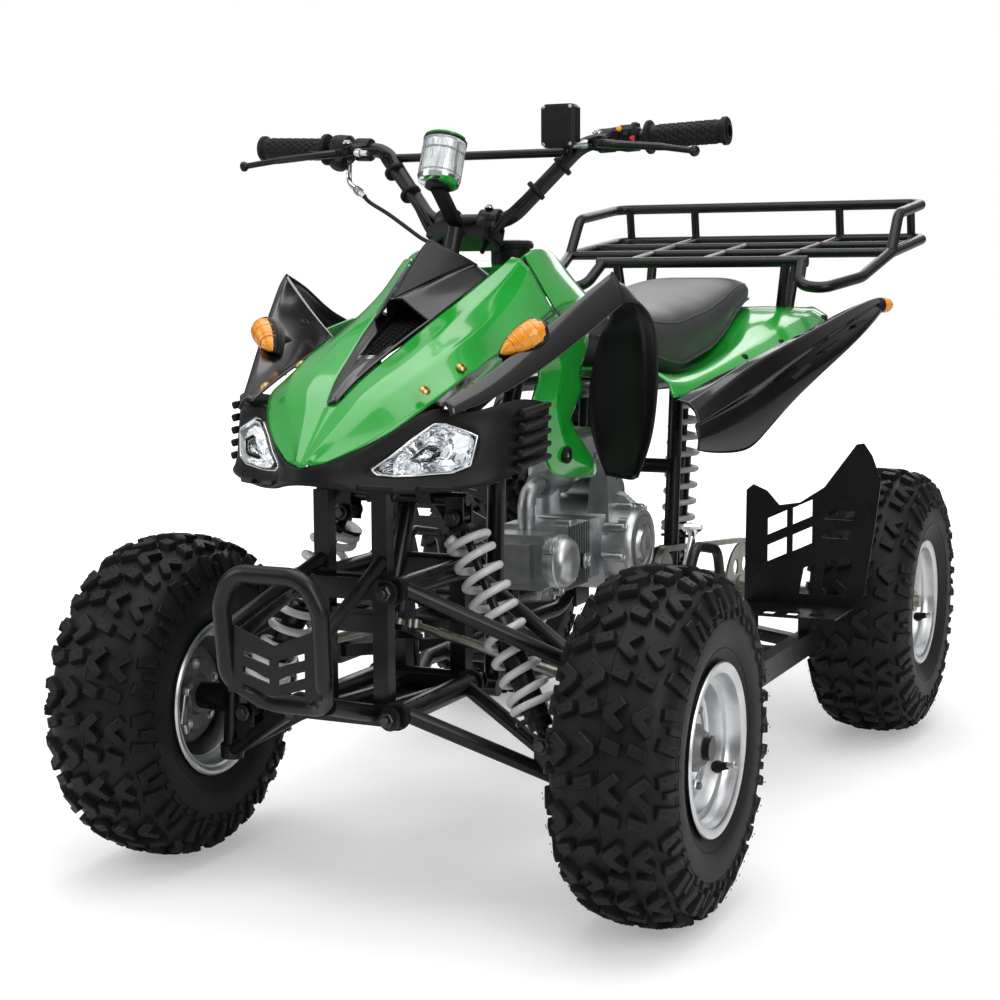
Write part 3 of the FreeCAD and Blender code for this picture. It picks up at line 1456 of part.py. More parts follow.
def crankcase():
    radius = float(v.crankcase_radius)
    main = Part.makeCylinder(radius, half_case * 2 - 20, crank - Vector(half_case - 10, 0, 0), Vector(1, 0, 0))
    gearbox = Part.makeCylinder(radius * 0.72, half_case * 2 - 30,
                                crank + Vector(-half_case + 10, 96, -26), Vector(1, 0, 0))
    bridge = Part.makeBox(half_case * 2 - 30, 110, radius * 1.5,
                          crank + Vector(-half_case + 10, -10, -radius * 1.0))
    front = Part.makeBox(half_case * 2 - 40, 60, 96, crank + Vector(-half_case + 20, -radius - 26, -46))
    cover = Part.makeCylinder(float(v.cover_radius), 44, crank + Vector(half_case - 14, 0, 0), Vector(1, 0, 0))
    cover = cover.makeChamfer(5, [e for e in cover.Edges if abs(e.CenterOfMass.x - (crank.x + half_case + 30)) < 1 and
                                  e.Closed])
    side_face = crank + Vector(half_case + 29, 0, 0)
    collar = Part.makeCylinder(float(v.cover_radius) * 0.42, 8, side_face, Vector(1, 0, 0))
    hoop = Part.makeCylinder(float(v.cover_radius) * 0.80, 5, side_face, Vector(1, 0, 0))
    hoop = hoop.cut(Part.makeCylinder(float(v.cover_radius) * 0.62, 9, side_face, Vector(1, 0, 0)))
    bolts = []
    for k in range(6):
        angle = math.pi / 3 * k + 0.3
        at = crank + Vector(half_case + 8, math.cos(angle) * float(v.cover_radius), math.sin(angle) * float(v.cover_radius))
        bolts.append(Part.makeCylinder(8, 14, at, Vector(1, 0, 0)))
    tower = Part.makeLoft([
        Part.makePolygon([crank + Vector(30, -60, 20), crank + Vector(72, -60, 20), crank + Vector(72, -8, 20),
                          crank + Vector(30, -8, 20), crank + Vector(30, -60, 20)]),
        Part.makePolygon([crank + Vector(36, -48, 142), crank + Vector(62, -48, 142), crank + Vector(62, -18, 142),
                          crank + Vector(36, -18, 142), crank + Vector(36, -48, 142)])], True, True)
    starter = Part.makeCylinder(26, 90, crank + Vector(-40, 40, 78), Vector(1, 0, 0))
    # output shaft with the small sprocket
    shaft_at = crank + Vector(0, 96, -62)
    x = float(v.sprocket_x)
    shaft = Part.makeCylinder(12, x + 12 - (half_case - 30), shaft_at + Vector(half_case - 30, 0, 0), Vector(1, 0, 0))
    drive = Part.makeCylinder(float(v.drive_sprocket_radius) + 3, 4, shaft_at + Vector(x - 2, 0, 0), Vector(1, 0, 0))
    cap = Part.makeCylinder(14, 9, crank + Vector(49, -33, 142), Vector(0, 0, 1))
    rib_bars = []
    for k in range(4):
        y = 14.0 + k * 22
        rib_bars.append(Part.makeBox(6, 6, 60, crank + Vector(half_case - 22, 40 + y, -50)))
    return fuse([main, gearbox, bridge, front, cover, collar, hoop, tower, starter, shaft, drive, cap] + bolts + rib_bars)


keep(free_shape("crankcase", crankcase()), "crankcase")


def cylinder_head():
    size = float(v.head_size)
    start = crank + Vector(0, -float(v.crankcase_radius) - 26.3, 0)
    core = Part.makeCylinder(34, 92, start, Vector(0, -1, 0))
    pieces = [core]
    count = int(v.fin_count)
    thick = float(v.fin_thickness)
    for k in range(count):
        y = start.y - 10 - k * (74.0 / count)
        pieces.append(Part.makeBox(size, thick, size, Vector(-size / 2, y - thick, start.z - size / 2)))
    base = Part.makeBox(size - 6, 6, size - 6, Vector(-size / 2 + 3, start.y - 6, start.z - size / 2 + 3))
    head = Part.makeBox(size, 84, size * 0.9, Vector(-size / 2, start.y - 92 - 72, start.z - size * 0.45))
    head = head.makeFillet(8, [e for e in head.Edges if abs(e.tangentAt(0).y) > 0.9])
    cover = Part.makeCylinder(41, 16, Vector(size / 2 - 2, start.y - 130, start.z), Vector(1, 0, 0))
    cover = cover.makeFillet(6, [e for e in cover.Edges if e.Closed and e.CenterOfMass.x > size / 2 + 10])
    rocker = Part.makeBox(60, 20, 60, Vector(-30, start.y - 182, start.z - 30))
    plug = Part.makeCylinder(7, 30, Vector(size / 2 - 4, start.y - 100, start.z - 20), Vector(1, 0, 0))
    pieces += [base, head, cover, rocker]
    return fuse(pieces)


keep(free_shape("cylinder_head", cylinder_head()), "cylinder_head")


# Carburettor and air box above the engine

def carburettor():
    body = Part.makeCylinder(22, 90, crank + Vector(-14, -150, 108), Vector(0, 1, 0))
    bowl = Part.makeCylinder(20, 46, crank + Vector(-14, -112, 58), Vector(0, 0, 1))
    manifold = tube([crank + Vector(-14, -150, 108), crank + Vector(-14, -198, 100), crank + Vector(-14, -198, 43.5)], 14, 30)
    airbox = Part.makeBox(94, 120, 84, crank + Vector(-70, -76, 104.3))
    airbox = airbox.makeFillet(12, airbox.Edges)
    return fuse([body, bowl, manifold, airbox])


keep(free_shape("carburettor", carburettor()), "carburettor")


# Exhaust down from the head and back along the right side

def exhaust():
    y0 = crank.y - float(v.crankcase_radius) - 26.3 - 130
    pipe = tube([Vector(-28, y0, crank.z - 43.5), Vector(-28, y0, crank.z - 100), Vector(-122, y0 + 50, crank.z - 102),
                 Vector(-126, crank.y + 70, crank.z - 100), R(-138, -330, 350), R(-176, -230, 470), R(-178, -120, 560)],
                v.exhaust_pipe_radius, 50)
    start = R(-178, -130, 556)
    end = R(-178, -130 + float(v.silencer_length) * 0.94, 556 + float(v.silencer_length) * 0.34)
    silencer = tube([start, end], v.silencer_radius)
    silencer = silencer.makeFillet(10, [e for e in silencer.Edges if e.Closed])
    tail = tube([end, end + (end - start) * 0.12], 13)
    return fuse([pipe, silencer, tail])


keep(free_shape("exhaust", exhaust()), "exhaust")

# Body panels. Each row runs from the middle outwards.

hood_rows = [
    # back, ridge z, insert x, insert z, crest x, crest z, edge x, edge z
    (-266, 608, 4, 608, 10, 609, 26, 612),
    (-225, 646, 6, 645, 40, 646, 76, 636),
    (-188, 680, 8, 678, 66, 684, 104, 662),
    (-146, 712, 18, 709, 90, 708, 128, 689),
    (-90, 752, 28, 734, 98, 732, 131, 704),
    (-45, 786, 37, 757, 100, 749, 132, 717),
    (25, 838, 50, 790, 104, 768, 135, 738),
    (135, 872, 70, 840, 112, 806, 138, 772),
    (186, 872, 80, 866, 106, 850, 140, 788),
]


def hood_row(back, ridge, ix, iz, cx, cz, ex, ez):
    middle = [F(0, back, ridge)]
    side = [F(ix, back, iz), F((ix + cx) / 2.0, back + 2, (iz + cz) / 2.0 + 5), F(cx, back + 4, cz), F(ex, back + 12, ez)]
    return [mirror(p) for p in reversed(side)] + middle + side


def hood():
    rows = [hood_row(*row) for row in hood_rows]
    points, cells = grid(rows)
    across = len(rows[0])
    kept = []
    for cell in cells:
        i, j = divmod(cell[0], across)
        if i >= 2 and j in (3, 4):
            continue
        kept.append(cell)
    return panel(points, kept, v.panel_thickness)


hood_shape = hood()
keep(free_shape("hood", hood_shape), "hood")


def hood_insert():
    rows = []
    lift = 1.5
    # grille part, then the screen cowl whose ridge rises behind it
    for row, ridge in zip(hood_rows[2:], (684, 716, 758, 792, 848, 880)):
        back, low, ix, iz = row[:4]
        x = ix - 3.0
        rows.append([F(-x, back, iz + lift), F(-x * 0.5, back - 4, (iz + ridge) / 2 + 3), F(0, back - 6, ridge),
                     F(x * 0.5, back - 4, (iz + ridge) / 2 + 3), F(x, back, iz + lift)])
    points, cells = grid(rows)
    return panel(points, cells, v.panel_thickness)


keep(free_shape("hood_insert", hood_insert()), "hood_insert")


def tank_cover():
    rows = []
    for back, top, half, side, low, dip in ((204, 870, 92, 142, 790, 18), (240, 884, 95, 146, 800, 32),
                                            (300, 878, 92, 152, 800, 10), (380, 846, 84, 148, 780, -4),
                                            (470, 806, 76, 138, 756, -4)):
        rows.append([F(-side, back, low), F(-half - 16, back, (top + low) / 2 + 14), F(-half, back, top),
                     F(-half * 0.75, back, top - dip), F(0, back, top - dip), F(half * 0.75, back, top - dip),
                     F(half, back, top), F(half + 16, back, (top + low) / 2 + 14), F(side, back, low)])
    points, cells = grid(rows)
    return panel(points, cells, v.panel_thickness)


tank_cover_shape = tank_cover()
keep(free_shape("tank_cover", tank_cover_shape), "tank_cover")

# Filler cap standing on the cover

filler = Part.makeCylinder(29, 44, F(36, 278, 848), Vector(0, 0, 1)).fuse(Part.makeCylinder(32, 10, F(36, 278, 880), Vector(0, 0, 1)))
filler = filler.removeSplitter().cut(tank_cover_shape)
filler = sorted(filler.Solids, key=lambda item: item.CenterOfMass.z)[-1]
keep(free_shape("tank_cap", filler), "tank_cap")

# Front lamp mask and lenses

mask_top = [(0, -268, 605), (40, -252, 612), (72, -214, 634), (100, -176, 661), (128, -142, 680), (176, -124, 664),
            (214, -80, 690)]
mask_low = [(0, -272, 586), (42, -254, 580), (72, -222, 574), (112, -190, 571), (150, -160, 573), (190, -128, 578),
            (212, -98, 588)]
lens_top = [(66, -207, 600), (84, -192, 615), (104, -171, 636), (126, -150, 655), (140, -142, 656), (176, -126, 640)]
lens_low = [(72, -205, 594), (92, -192, 592), (114, -175, 592), (136, -160, 594), (152, -150, 595), (170, -136, 603)]


def lamp_mask():
    def half(sign):
        points = [F(sign * x, b, z) for x, b, z in mask_top + mask_low + lens_top + lens_low]
        n = len(mask_top)
        m = len(lens_top)
        top = list(range(n))
        low = list(range(n, 2 * n))
        ltop = list(range(2 * n, 2 * n + m))
        llow = list(range(2 * n + m, 2 * n + 2 * m))
        cells = []
        cells.append((top[0], low[0], low[1], top[1]))
        cells.append((top[1], low[1], llow[0], ltop[0]))
        for k in range(m - 1):
            cells.append((top[k + 1], ltop[k], ltop[k + 1], top[k + 2]))
            cells.append((llow[k], low[k + 1], low[k + 2], llow[k + 1]))
        cells.append((top[m], ltop[m - 1], llow[m - 1], low[m]))
        points += [F(sign * 207, 18, 602), F(sign * 210, 20, 672)]
        cells.append((top[m], low[m], len(points) - 2, len(points) - 1))
        if sign < 0:
            cells = [tuple(reversed(c)) for c in cells]
        return points, cells

    points = []
    cells = []
    for sign in (1, -1):
        p, c = half(sign)
        offset = len(points)
        points += p
        cells += [tuple(k + offset for k in cell) for cell in c]
    # side vent panels
    merged = {}
    remap = []
    final = []
    for p in points:
        key = (round(p.x, 3), round(p.y, 3), round(p.z, 3))
        if key not in merged:
            merged[key] = len(final)
            final.append(p)
        remap.append(merged[key])
    cells = [tuple(remap[k] for k in cell) for cell in cells]
    return final, cells


points, cells = lamp_mask()
mask_shape = panel(points, cells, v.mask_thickness).cut(hood_shape)
mask_shape = sorted(mask_shape.Solids, key=lambda item: item.Volume)[-1]
ribs = []
for sign in (1, -1):
    for k in range(4):
        z = 606.0 + k * 19
        ribs.append(bar(F(sign * (211 + k * 0.5), -86 + k * 2, z), F(sign * 210, 14, z + 4), 9, 10))
mask_shape = fuse([mask_shape] + ribs)
keep(free_shape("lamp_mask", mask_shape), "lamp_mask")


def lens(sign):
    loop = [F(sign * x, b, z) for x, b, z in lens_top] + [F(sign * x, b, z) for x, b, z in reversed(lens_low)]
    centre = Vector()
    for p in loop:
        centre = centre + p
    centre = centre * (1.0 / len(loop))
    loop = [centre + (p - centre) * 0.985 for p in loop]
    points = loop + [centre + Vector(sign * 2, -3, 2)]
    last = len(points) - 1
    cells = []
    for k in range(len(loop)):
        a, b = k, (k + 1) % len(loop)
        cells.append((b, a, last) if sign > 0 else (a, b, last))
    return panel(points, cells, v.lens_depth)


keep(group("headlamps", [free_shape("headlamp_left", lens(1)), free_shape("headlamp_right", lens(-1))]), "headlamps")

# Front fenders: a wing rising from the hood edge to the crest, an outer wall, and the rear flap

flare_rows = [
    # back, inner x, inner z, crest x, crest z, wall x, wall z
    (-158, 134, 684, 143, 684, 156, 668),
    (-98, 135, 706, 170, 710, 186, 684),
    (-30, 137, 726, 199, 752, 216, 714),
    (50, 140, 748, 230, 800, 248, 758),
    (128, 141, 753, 257, 845, 276, 804),
    (164, 232, 812, 262, 838, 282, 806),
    (206, 226, 780, 262, 800, 286, 786),
]
# the inner edge leaves the hood below the crest's peak
flare_inner_back = {128: 66}


def front_fender(sign):
    rows = []
    for back, ix, iz, cx, cz, wx, wz in flare_rows:
        inner_back = flare_inner_back.get(back, back)
        rows.append([F(sign * ix, inner_back, iz), F(sign * cx, back, cz), F(sign * wx, back - 4, wz)])
    points, cells = grid(rows)
    order = cells if sign > 0 else [tuple(reversed(c)) for c in cells]
    flap = [
        [F(sign * 226, 206, 780), F(sign * 262, 206, 800), F(sign * 286, 202, 786)],
        [F(sign * 192, 246, 764), F(sign * 254, 244, 770), F(sign * 287, 222, 752)],
        [F(sign * 174, 264, 716), F(sign * 248, 266, 706), F(sign * 284, 236, 700)],
        [F(sign * 163, 268, 668), F(sign * 242, 268, 650), F(sign * 276, 240, 646)],
        [F(sign * 178, 269, 606), F(sign * 236, 266, 596), F(sign * 262, 246, 604)],
        [F(sign * 208, 268, 540), F(sign * 218, 266, 537), F(sign * 226, 258, 542)],
    ]
    offset = len(points) - 3
    fpoints, fcells = grid(flap)
    points = points[:offset] + fpoints
    fcells = [tuple(k + offset for k in c) for c in fcells]
    order = order + (fcells if sign > 0 else [tuple(reversed(c)) for c in fcells])
    return panel(points, order, v.panel_thickness)


front_fender_left_shape = front_fender(1)
keep(free_shape("front_fender_left", front_fender_left_shape), "front_fender_left")
keep(free_shape("front_fender_right", mirrored(front_fender_left_shape)), "front_fender_right")

keep(free_shape("frame", frame()), "frame")

# Side shrouds: green plates between hood and engine

shroud_outline = [
    (front_y + 22, 748.0), (front_y + 6, 736.0), (front_y + 66, 712.0), (front_y + 30, 668.0), (front_y + 62, 614.0),
    (front_y + 100, 566.0), (front_y + 258, 551.0), (front_y + 262, 568.0), (front_y + 156, 640.0),
    (front_y + 212, 678.0), (front_y + 196, 704.0), (front_y + 236, 752.0), (front_y + 206, 782.0),
    (front_y + 116, 766.0),
]
shroud = plate("side_shroud_left", "YZ_Plane", shroud_outline, v.panel_thickness)
place_bound(shroud, shroud_x, 0.0, 0.0)
shroud_twin = mirror_of("side_shroud_right", shroud)
keep(group("side_shrouds", [shroud, shroud_twin]), "side_shrouds")


# Seat: padded saddle

def seat_section(back, half, top, low, crown):
    y = float(rear_y) + back
    pts = [Vector(-half, y, low), Vector(-half, y, top - crown), Vector(-half * 0.6, y, top - crown * 0.25),
           Vector(0, y, top), Vector(half * 0.6, y, top - crown * 0.25), Vector(half, y, top - crown),
           Vector(half, y, low)]
    return Part.makePolygon(pts + [pts[0]])


def seat():
    sections = [
        seat_section(-590, 74, 812, 760, 26),
        seat_section(-480, 92, 792, 738, 26),
        seat_section(-350, 110, 788, 722, 26),
        seat_section(-200, 122, 806, 720, 28),
        seat_section(-60, 118, 830, 726, 30),
        seat_section(80, 104, 834, 748, 32),
        seat_section(140, 86, 822, 766, 26),
    ]
    return Part.makeLoft(sections, True, True)


keep(free_shape("seat", seat()), "seat")

# Rear fender: green cover under and behind the seat, with the two black wings

# back, floor z, floor half width, ridge outer x, ridge z, edge x, edge z
fender_rows = [
    (-480, 738, 93, 104, 744, 150, 640),
    (-350, 722, 111, 126, 742, 178, 664),
    (-200, 720, 123, 140, 752, 214, 700),
    (-60, 726, 119, 150, 772, 240, 722),
    (80, 748, 106, 182, 776, 250, 746),
    (140, 766, 88, 182, 776, 244, 762),
    (230, 763.2, 80, 160, 774, 196, 768),
]


def rear_fender():
    rows = []
    for back, mid, mx, rx, mz, ex, ez in fender_rows:
        mid = mid - float(v.seat_gap)
        side = [R(mx, back, mid), R(mx + 3, back, mz), R(rx, back, mz), R(ex, back, ez)]
        rows.append([mirror(p) for p in reversed(side)] + [R(0, back, mid)] + side)
    points, cells = grid(rows)
    return panel(points, cells, v.panel_thickness)


keep(free_shape("rear_fender", rear_fender()), "rear_fender")


def rear_wing(sign):
    rows = []
    for back, ix, iz, ox, oz, lx2, lz2 in ((-470, 152.2, 636.4, 184, 616, 190, 556), (-440, 160, 644, 193, 630, 196, 551),
                                          (-330, 190, 676, 226, 680, 216, 534),
                                          (-220, 218, 700, 272, 722, 284, 628), (-110, 238, 718, 318, 760, 344, 704),
                                          (-20, 252, 734, 344, 788, 360, 742), (60, 262, 750, 356, 796, 364, 772),
                                          ):
        rows.append([R(sign * (ix - 2.8), back, iz), R(sign * ox, back, oz), R(sign * lx2, back, lz2)])
    points, cells = grid(rows)
    order = cells if sign > 0 else [tuple(reversed(c)) for c in cells]
    return panel(points, order, v.panel_thickness)


keep(group("rear_wings", [free_shape("rear_wing_left", rear_wing(1)),
                          free_shape("rear_wing_right", rear_wing(-1))]), "rear_wings")


# Turn signals: four amber lamps

def signal(centre, along, length, radius):
    along.normalize()
    ball = Part.makeSphere(1.0)
    matrix = FreeCAD.Matrix()
    matrix.scale(length / 2.0, radius, radius)
    shape = ball.transformGeometry(matrix)
    shape.Placement = Placement(centre, Rotation(Vector(1, 0, 0), along))
    return shape


def lamp(centre, along, radius, length):
    along.normalize()
    base = Part.makeCylinder(radius * 0.92, length * 0.14, centre, along)
    bowl = Part.makeCone(radius * 0.92, radius, length * 0.24, centre + along * (length * 0.14), along)
    cap = Part.makeCone(radius, radius * 0.70, length * 0.32, centre + along * (length * 0.38), along)
    tip = Part.makeCone(radius * 0.70, radius * 0.20, length * 0.30, centre + along * (length * 0.70), along)
    return fuse([base, bowl, cap, tip])


signals = []
for sign in (1, -1):
    front_lamp = lamp(F(194, 6, 768), Vector(0.25, -0.95, 0.03), 19, 62)
    foot = Part.makeCylinder(9, 40, F(192, -20, 764) - Vector(0, 0, 34), Vector(0, 0, 1))
    front_lamp = fuse([front_lamp, foot]).cut(front_fender_left_shape)
    front_lamp = sorted(front_lamp.Solids, key=lambda item: item.CenterOfMass.z)[-1]
    rear_lamp = lamp(R(354, 61.0, 782), Vector(0, 1, 0), 15, 34)
    if sign < 0:
        front_lamp = mirrored(front_lamp)
        rear_lamp = mirrored(rear_lamp)
    signals.append(free_shape("signal_front", front_lamp))
    signals.append(free_shape("signal_rear", rear_lamp))
keep(group("turn_signals", signals), "turn_signals")

tail = doc.addObject("Part::Box", "tail_lamp")
tail.Length = 120
tail.Width = 26
tail.Height = 34
place_bound(tail, -60.0, rear_y + 230.4, 742.0)
keep(tail, "tail_lamp")


# Rear rack

def rack():
    rt = v.rack_tube_radius
    hw = float(v.rack_half_width)
    front = float(v.rack_front_back)
    rear = float(v.rack_rear_back)
    z0 = float(v.rack_front_z)
    rise = float(v.rack_rise)
    high = float(v.rack_rail_height)

    def z_at(back):
        return z0 + rise * (back - front) / (rear - front)

    mid = front + (rear - front) * 0.34
    back2 = front + (rear - front) * 0.66
    outer = []
    for side in (1, -1):
        part = [R(side * 203, front, z0), R(side * 214, front - 62, z0 - 44), R(side * 262, front - 66, z0 - 50),
                R(side * (hw - 22), front + 10, z0 - 30), R(side * hw, mid, z_at(mid)), R(side * hw, rear, z_at(rear))]
        outer.append(part)
    points = outer[0] + list(reversed(outer[1]))
    loop = tube(points, rt, 34)
    pieces = [loop]
    pieces.append(tube([R(-214, front, z0), R(214, front, z0)], rt))
    for back in (mid, back2):
        pieces.append(tube([R(-hw, back, z_at(back)), R(hw, back, z_at(back))], rt * 0.85))
    upper = []
    for side in (1, -1):
        part = [R(side * hw, front + 150, z_at(front + 150)), R(side * hw, front + 205, z_at(front + 205) + high),
                R(side * hw, rear - 12, z_at(rear) + high)]
        upper.append(part)
    pieces.append(tube(upper[0] + list(reversed(upper[1])), rt, 34))
    for x in (-310, -160, 160, 310):
        pieces.append(tube([R(x, rear, z_at(rear)), R(x, rear - 12, z_at(rear) + high)], rt * 0.8))
    for x in (-150, 0, 150):
        pieces.append(tube([R(x, front, z0), R(x * 1.04, back2, z_at(back2))], rt * 0.8))
    for x in (-160, 160):
        pieces.append(tube([R(x, back2, z_at(back2)), R(x, rear, z_at(rear))], rt * 0.8))
    for side in (1, -1):
        pieces.append(tube([R(side * 172, front, z0), R(side * 160, front + 6, 770)], rt * 0.9))
        pieces.append(tube([R(side * 152, mid, z_at(mid)), R(side * 146, mid - 40, 770)], rt * 0.9))
    solid = fuse(pieces)
    below = Part.makeBox(1000, 1000, 200, R(-500, -300, 776 + float(v.seat_gap) - 200))
    return solid.cut(below)


keep(free_shape("rear_rack", rack()), "rear_rack")

# Foot guards: upright heel plate with windows, bent into a platform

gx0 = v.guard_inner_x
gx1 = v.guard_outer_x
gz = v.guard_low_z
guard_y = rear_y - v.guard_ahead


def foot_guard(name):
    body = new_body(name)
    sketch = new_sketch(body, name + "_outline", "XZ_Plane")
    draw(sketch, [
        (gx0, gz), (gx1 - 30, gz), (gx1 - 12, gz + 22), (gx1 + 6, gz + 150), (gx1 + 14, gz + 220),
        (gx1 - 2, gz + 262), (gx1 - 16, gz + 282), (gx1 - 28, gz + 280), (gx0 + 138, gz + 206),
        (gx0 + 96, gz + 178), (gx0 + 60, gz + 172), (gx0 + 38, gz + 196), (gx0 + 14, gz + 206),
        (gx0 + 2, gz + 196),
    ])
    pad = body.newObject("PartDesign::Pad", name + "_pad")
    pad.Profile = sketch
    bind(pad, "Length", v.guard_thickness)
    windows = []
    for column in range(2):
        for row in range(2):
            x = gx0 + 40 + column * 44
            z = gz + 74 + row * 46 + column * 20
            windows.append([(x, z), (x + 34, z + 16), (x + 34, z + 44), (x, z + 28)])
    windows.append([(gx0 + 134, gz + 120), (gx0 + 180, gz + 120), (gx0 + 184, gz + 134), (gx0 + 138, gz + 134)])
    windows.append([(gx0 + 138, gz + 152), (gx0 + 188, gz + 152), (gx0 + 192, gz + 168), (gx0 + 142, gz + 168)])
    windows.append([(gx0 + 96, gz + 22), (gx0 + 118, gz + 22), (gx0 + 124, gz + 76), (gx0 + 104, gz + 66)])
    windows.append([(gx0 + 134, gz + 22), (gx0 + 176, gz + 22), (gx0 + 190, gz + 84), (gx0 + 142, gz + 84)])
    cut_through(body, name + "_windows", "XZ_Plane", windows)
    floor = new_sketch(body, name + "_floor_outline", "XZ_Plane")
    draw(floor, [(gx0, gz), (gx1 - 30, gz), (gx1 - 30, gz + v.guard_thickness), (gx0, gz + v.guard_thickness)])
    step = body.newObject("PartDesign::Pad", name + "_floor")
    step.Profile = floor
    bind(step, "Length", v.platform_depth)
    holes = new_sketch(body, name + "_floor_holes", "XY_Plane")
    for k in range(4):
        x = gx0 + 20 + k * 40
        draw(holes, [(x, -(v.platform_depth - 14)), (x + 22, -(v.platform_depth - 14)), (x + 22, -(v.platform_depth - 44)),
                     (x, -(v.platform_depth - 44))])
    pocket = body.newObject("PartDesign::Pocket", name + "_grating")
    pocket.Profile = holes
    pocket.Type = "ThroughAll"
    pocket.Midplane = True
    return body


left_guard = foot_guard("foot_guard_plate_left")
place_bound(left_guard, 0.0, guard_y, 0.0)
keep(group("foot_guards", [left_guard, mirror_of("foot_guard_plate_right", left_guard)]), "foot_guards")


# Side rails below the platforms, with arms to the frame

def side_rail():
    x = float(v.side_rail_x)
    z = float(v.side_rail_z)
    y1 = float(guard_y) + 20
    y0 = float(front_y) + 400
    rail = bar(Vector(x, y0, z), Vector(x, y1, z), 24, 38)
    arm1 = bar(Vector(float(v.lower_rail_x) + 13, y0 + 20, lz - 4), Vector(x - 6, y0 + 20, z), 24, 20)
    arm2 = bar(Vector(float(v.lower_rail_x) + 13, y1 - 60, lz - 4), Vector(x - 6, y1 - 60, z), 24, 20)
    post1 = bar(Vector(x, y1 - 60, z), Vector(x, y1 - 60, float(v.guard_low_z) - 0.3), 20, 20, Vector(0, -1, 0))
    inner_post = bar(Vector(250, y1 - 60, z + 14), Vector(250, y1 - 60, float(v.guard_low_z) - 0.3), 20, 20, Vector(0, -1, 0))
    # hoop beside the foot well, its rear foot carried by a short cross bar
    hoop_x = 250.0
    hoop_points = [(-241, 240), (-236, 330), (-164, 421), (-60, 402), (-39, 340), (20, 286), (24, 226)]
    shift = float(front_y) + 661.0
    path = [Vector(hoop_x, y + shift, z) for y, z in hoop_points]
    hoop = tube(path, 8, 34)
    foot = bar(Vector(hoop_x - 9, 24 + shift, z + 2), Vector(x - 6, 24 + shift, z + 2), 18, 14)
    return fuse([rail, arm1, arm2, post1, inner_post, hoop, foot])


rail_shape = side_rail()
keep(group("side_rails", [free_shape("side_rail_left", rail_shape),
                          free_shape("side_rail_right", mirrored(rail_shape))]), "side_rails")


# Hand lever with its mushroom knob, standing on the left rail's front arm

def reverse_lever():
    x = 226.0
    y = float(front_y) + 420.0
    low_knob = Vector(x + 8, y + 104, 436)
    stem_rod = tube([Vector(x - 4, y - 1, 254), Vector(x + 3, y + 46, 330), low_knob], 4.5, 40)
    base = Part.makeCylinder(9, 16, Vector(x - 4, y - 1, 250), Vector(0, 0.1, 1))
    axis = Vector(0, 0.55, 0.83)
    neck = Part.makeCone(5, 12, 12, low_knob - axis * 3, axis)
    crown = Part.makeCylinder(12, 6, low_knob + axis * 8, axis)
    solid = fuse([stem_rod, base, neck, crown])
    return solid.cut(rail_shape)


lever_parts = sorted(reverse_lever().Solids, key=lambda item: item.Volume)
keep(free_shape("reverse_lever", lever_parts[-1]), "reverse_lever")

# Foot controls: gear pedal on the left, brake pedal on the right

def pedal(side):
    x = 150.0
    y = crank.y + 10
    start = half_case - 10 + float(v.seat_gap)
    shaft = tube([Vector(side * start, y, crank.z - 68), Vector(side * x, y, crank.z - 68)], 8)
    arm = tube([Vector(side * (x - 4), y, crank.z - 68), Vector(side * (x + 10), y - 60, crank.z - 90),
                Vector(side * (x + 22), y - 120, crank.z - 84)], 7, 30)
    toe = tube([Vector(side * (x + 18), y - 120, crank.z - 84), Vector(side * (x + 66), y - 124, crank.z - 84)], 9)
    return fuse([shaft, arm, toe])


keep(free_shape("gear_pedal", pedal(1)), "gear_pedal")
keep(free_shape("brake_pedal", pedal(-1)), "brake_pedal")

# Build, check and write

doc.recompute()
os.makedirs("parts", exist_ok=True)
bad = []
for obj in doc.Objects:
    if "Invalid" in obj.State or "Error" in obj.State:
        bad.append("%s %s" % (obj.Name, obj.State))
for obj in subparts:
    shape = obj.Shape
    if shape.isNull() or not shape.isValid() or not shape.Solids:
        bad.append("%s has no sound shape" % obj.Label)
if bad:
    raise RuntimeError("; ".join(bad))
for obj in subparts:
    obj.Shape.exportStep(os.path.join("parts", obj.Label + ".step"))
    bounds = obj.Shape.BoundBox
    print("%-20s solids %2d volume %9.0f  x %7.1f %7.1f  y %7.1f %7.1f  z %7.1f %7.1f" % (
        obj.Label, len(obj.Shape.Solids), obj.Shape.Volume, bounds.XMin, bounds.XMax, bounds.YMin, bounds.YMax,
        bounds.ZMin, bounds.ZMax))
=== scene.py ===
import bpy
import json
import math
from mathutils import Matrix, Vector, noise


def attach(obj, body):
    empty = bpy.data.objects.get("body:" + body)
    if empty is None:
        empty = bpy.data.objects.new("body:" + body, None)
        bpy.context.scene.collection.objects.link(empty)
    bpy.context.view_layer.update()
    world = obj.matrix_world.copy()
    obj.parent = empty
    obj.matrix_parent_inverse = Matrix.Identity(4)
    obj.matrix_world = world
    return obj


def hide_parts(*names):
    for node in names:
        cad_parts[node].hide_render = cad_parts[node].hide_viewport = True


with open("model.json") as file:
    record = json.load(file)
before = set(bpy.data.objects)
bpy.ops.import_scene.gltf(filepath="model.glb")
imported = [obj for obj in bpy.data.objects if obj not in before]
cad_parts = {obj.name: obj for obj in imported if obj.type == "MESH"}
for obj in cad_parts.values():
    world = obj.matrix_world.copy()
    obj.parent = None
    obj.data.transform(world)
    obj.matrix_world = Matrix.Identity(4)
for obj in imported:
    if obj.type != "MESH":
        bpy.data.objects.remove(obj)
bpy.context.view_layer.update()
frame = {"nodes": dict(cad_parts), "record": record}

# Metres: +X is the vehicle's left, -Y its front, the ground is at z = 0
FRONT, REAR = -0.661, 0.489
FRONT_R, REAR_R = 0.235, 0.243
MM = 0.001
TURN = 2 * math.pi
SIDES = ((1, "left"), (-1, "right"))
WALL, MASK_WALL, LENS_WALL = 0.0035, 0.005, 0.0012
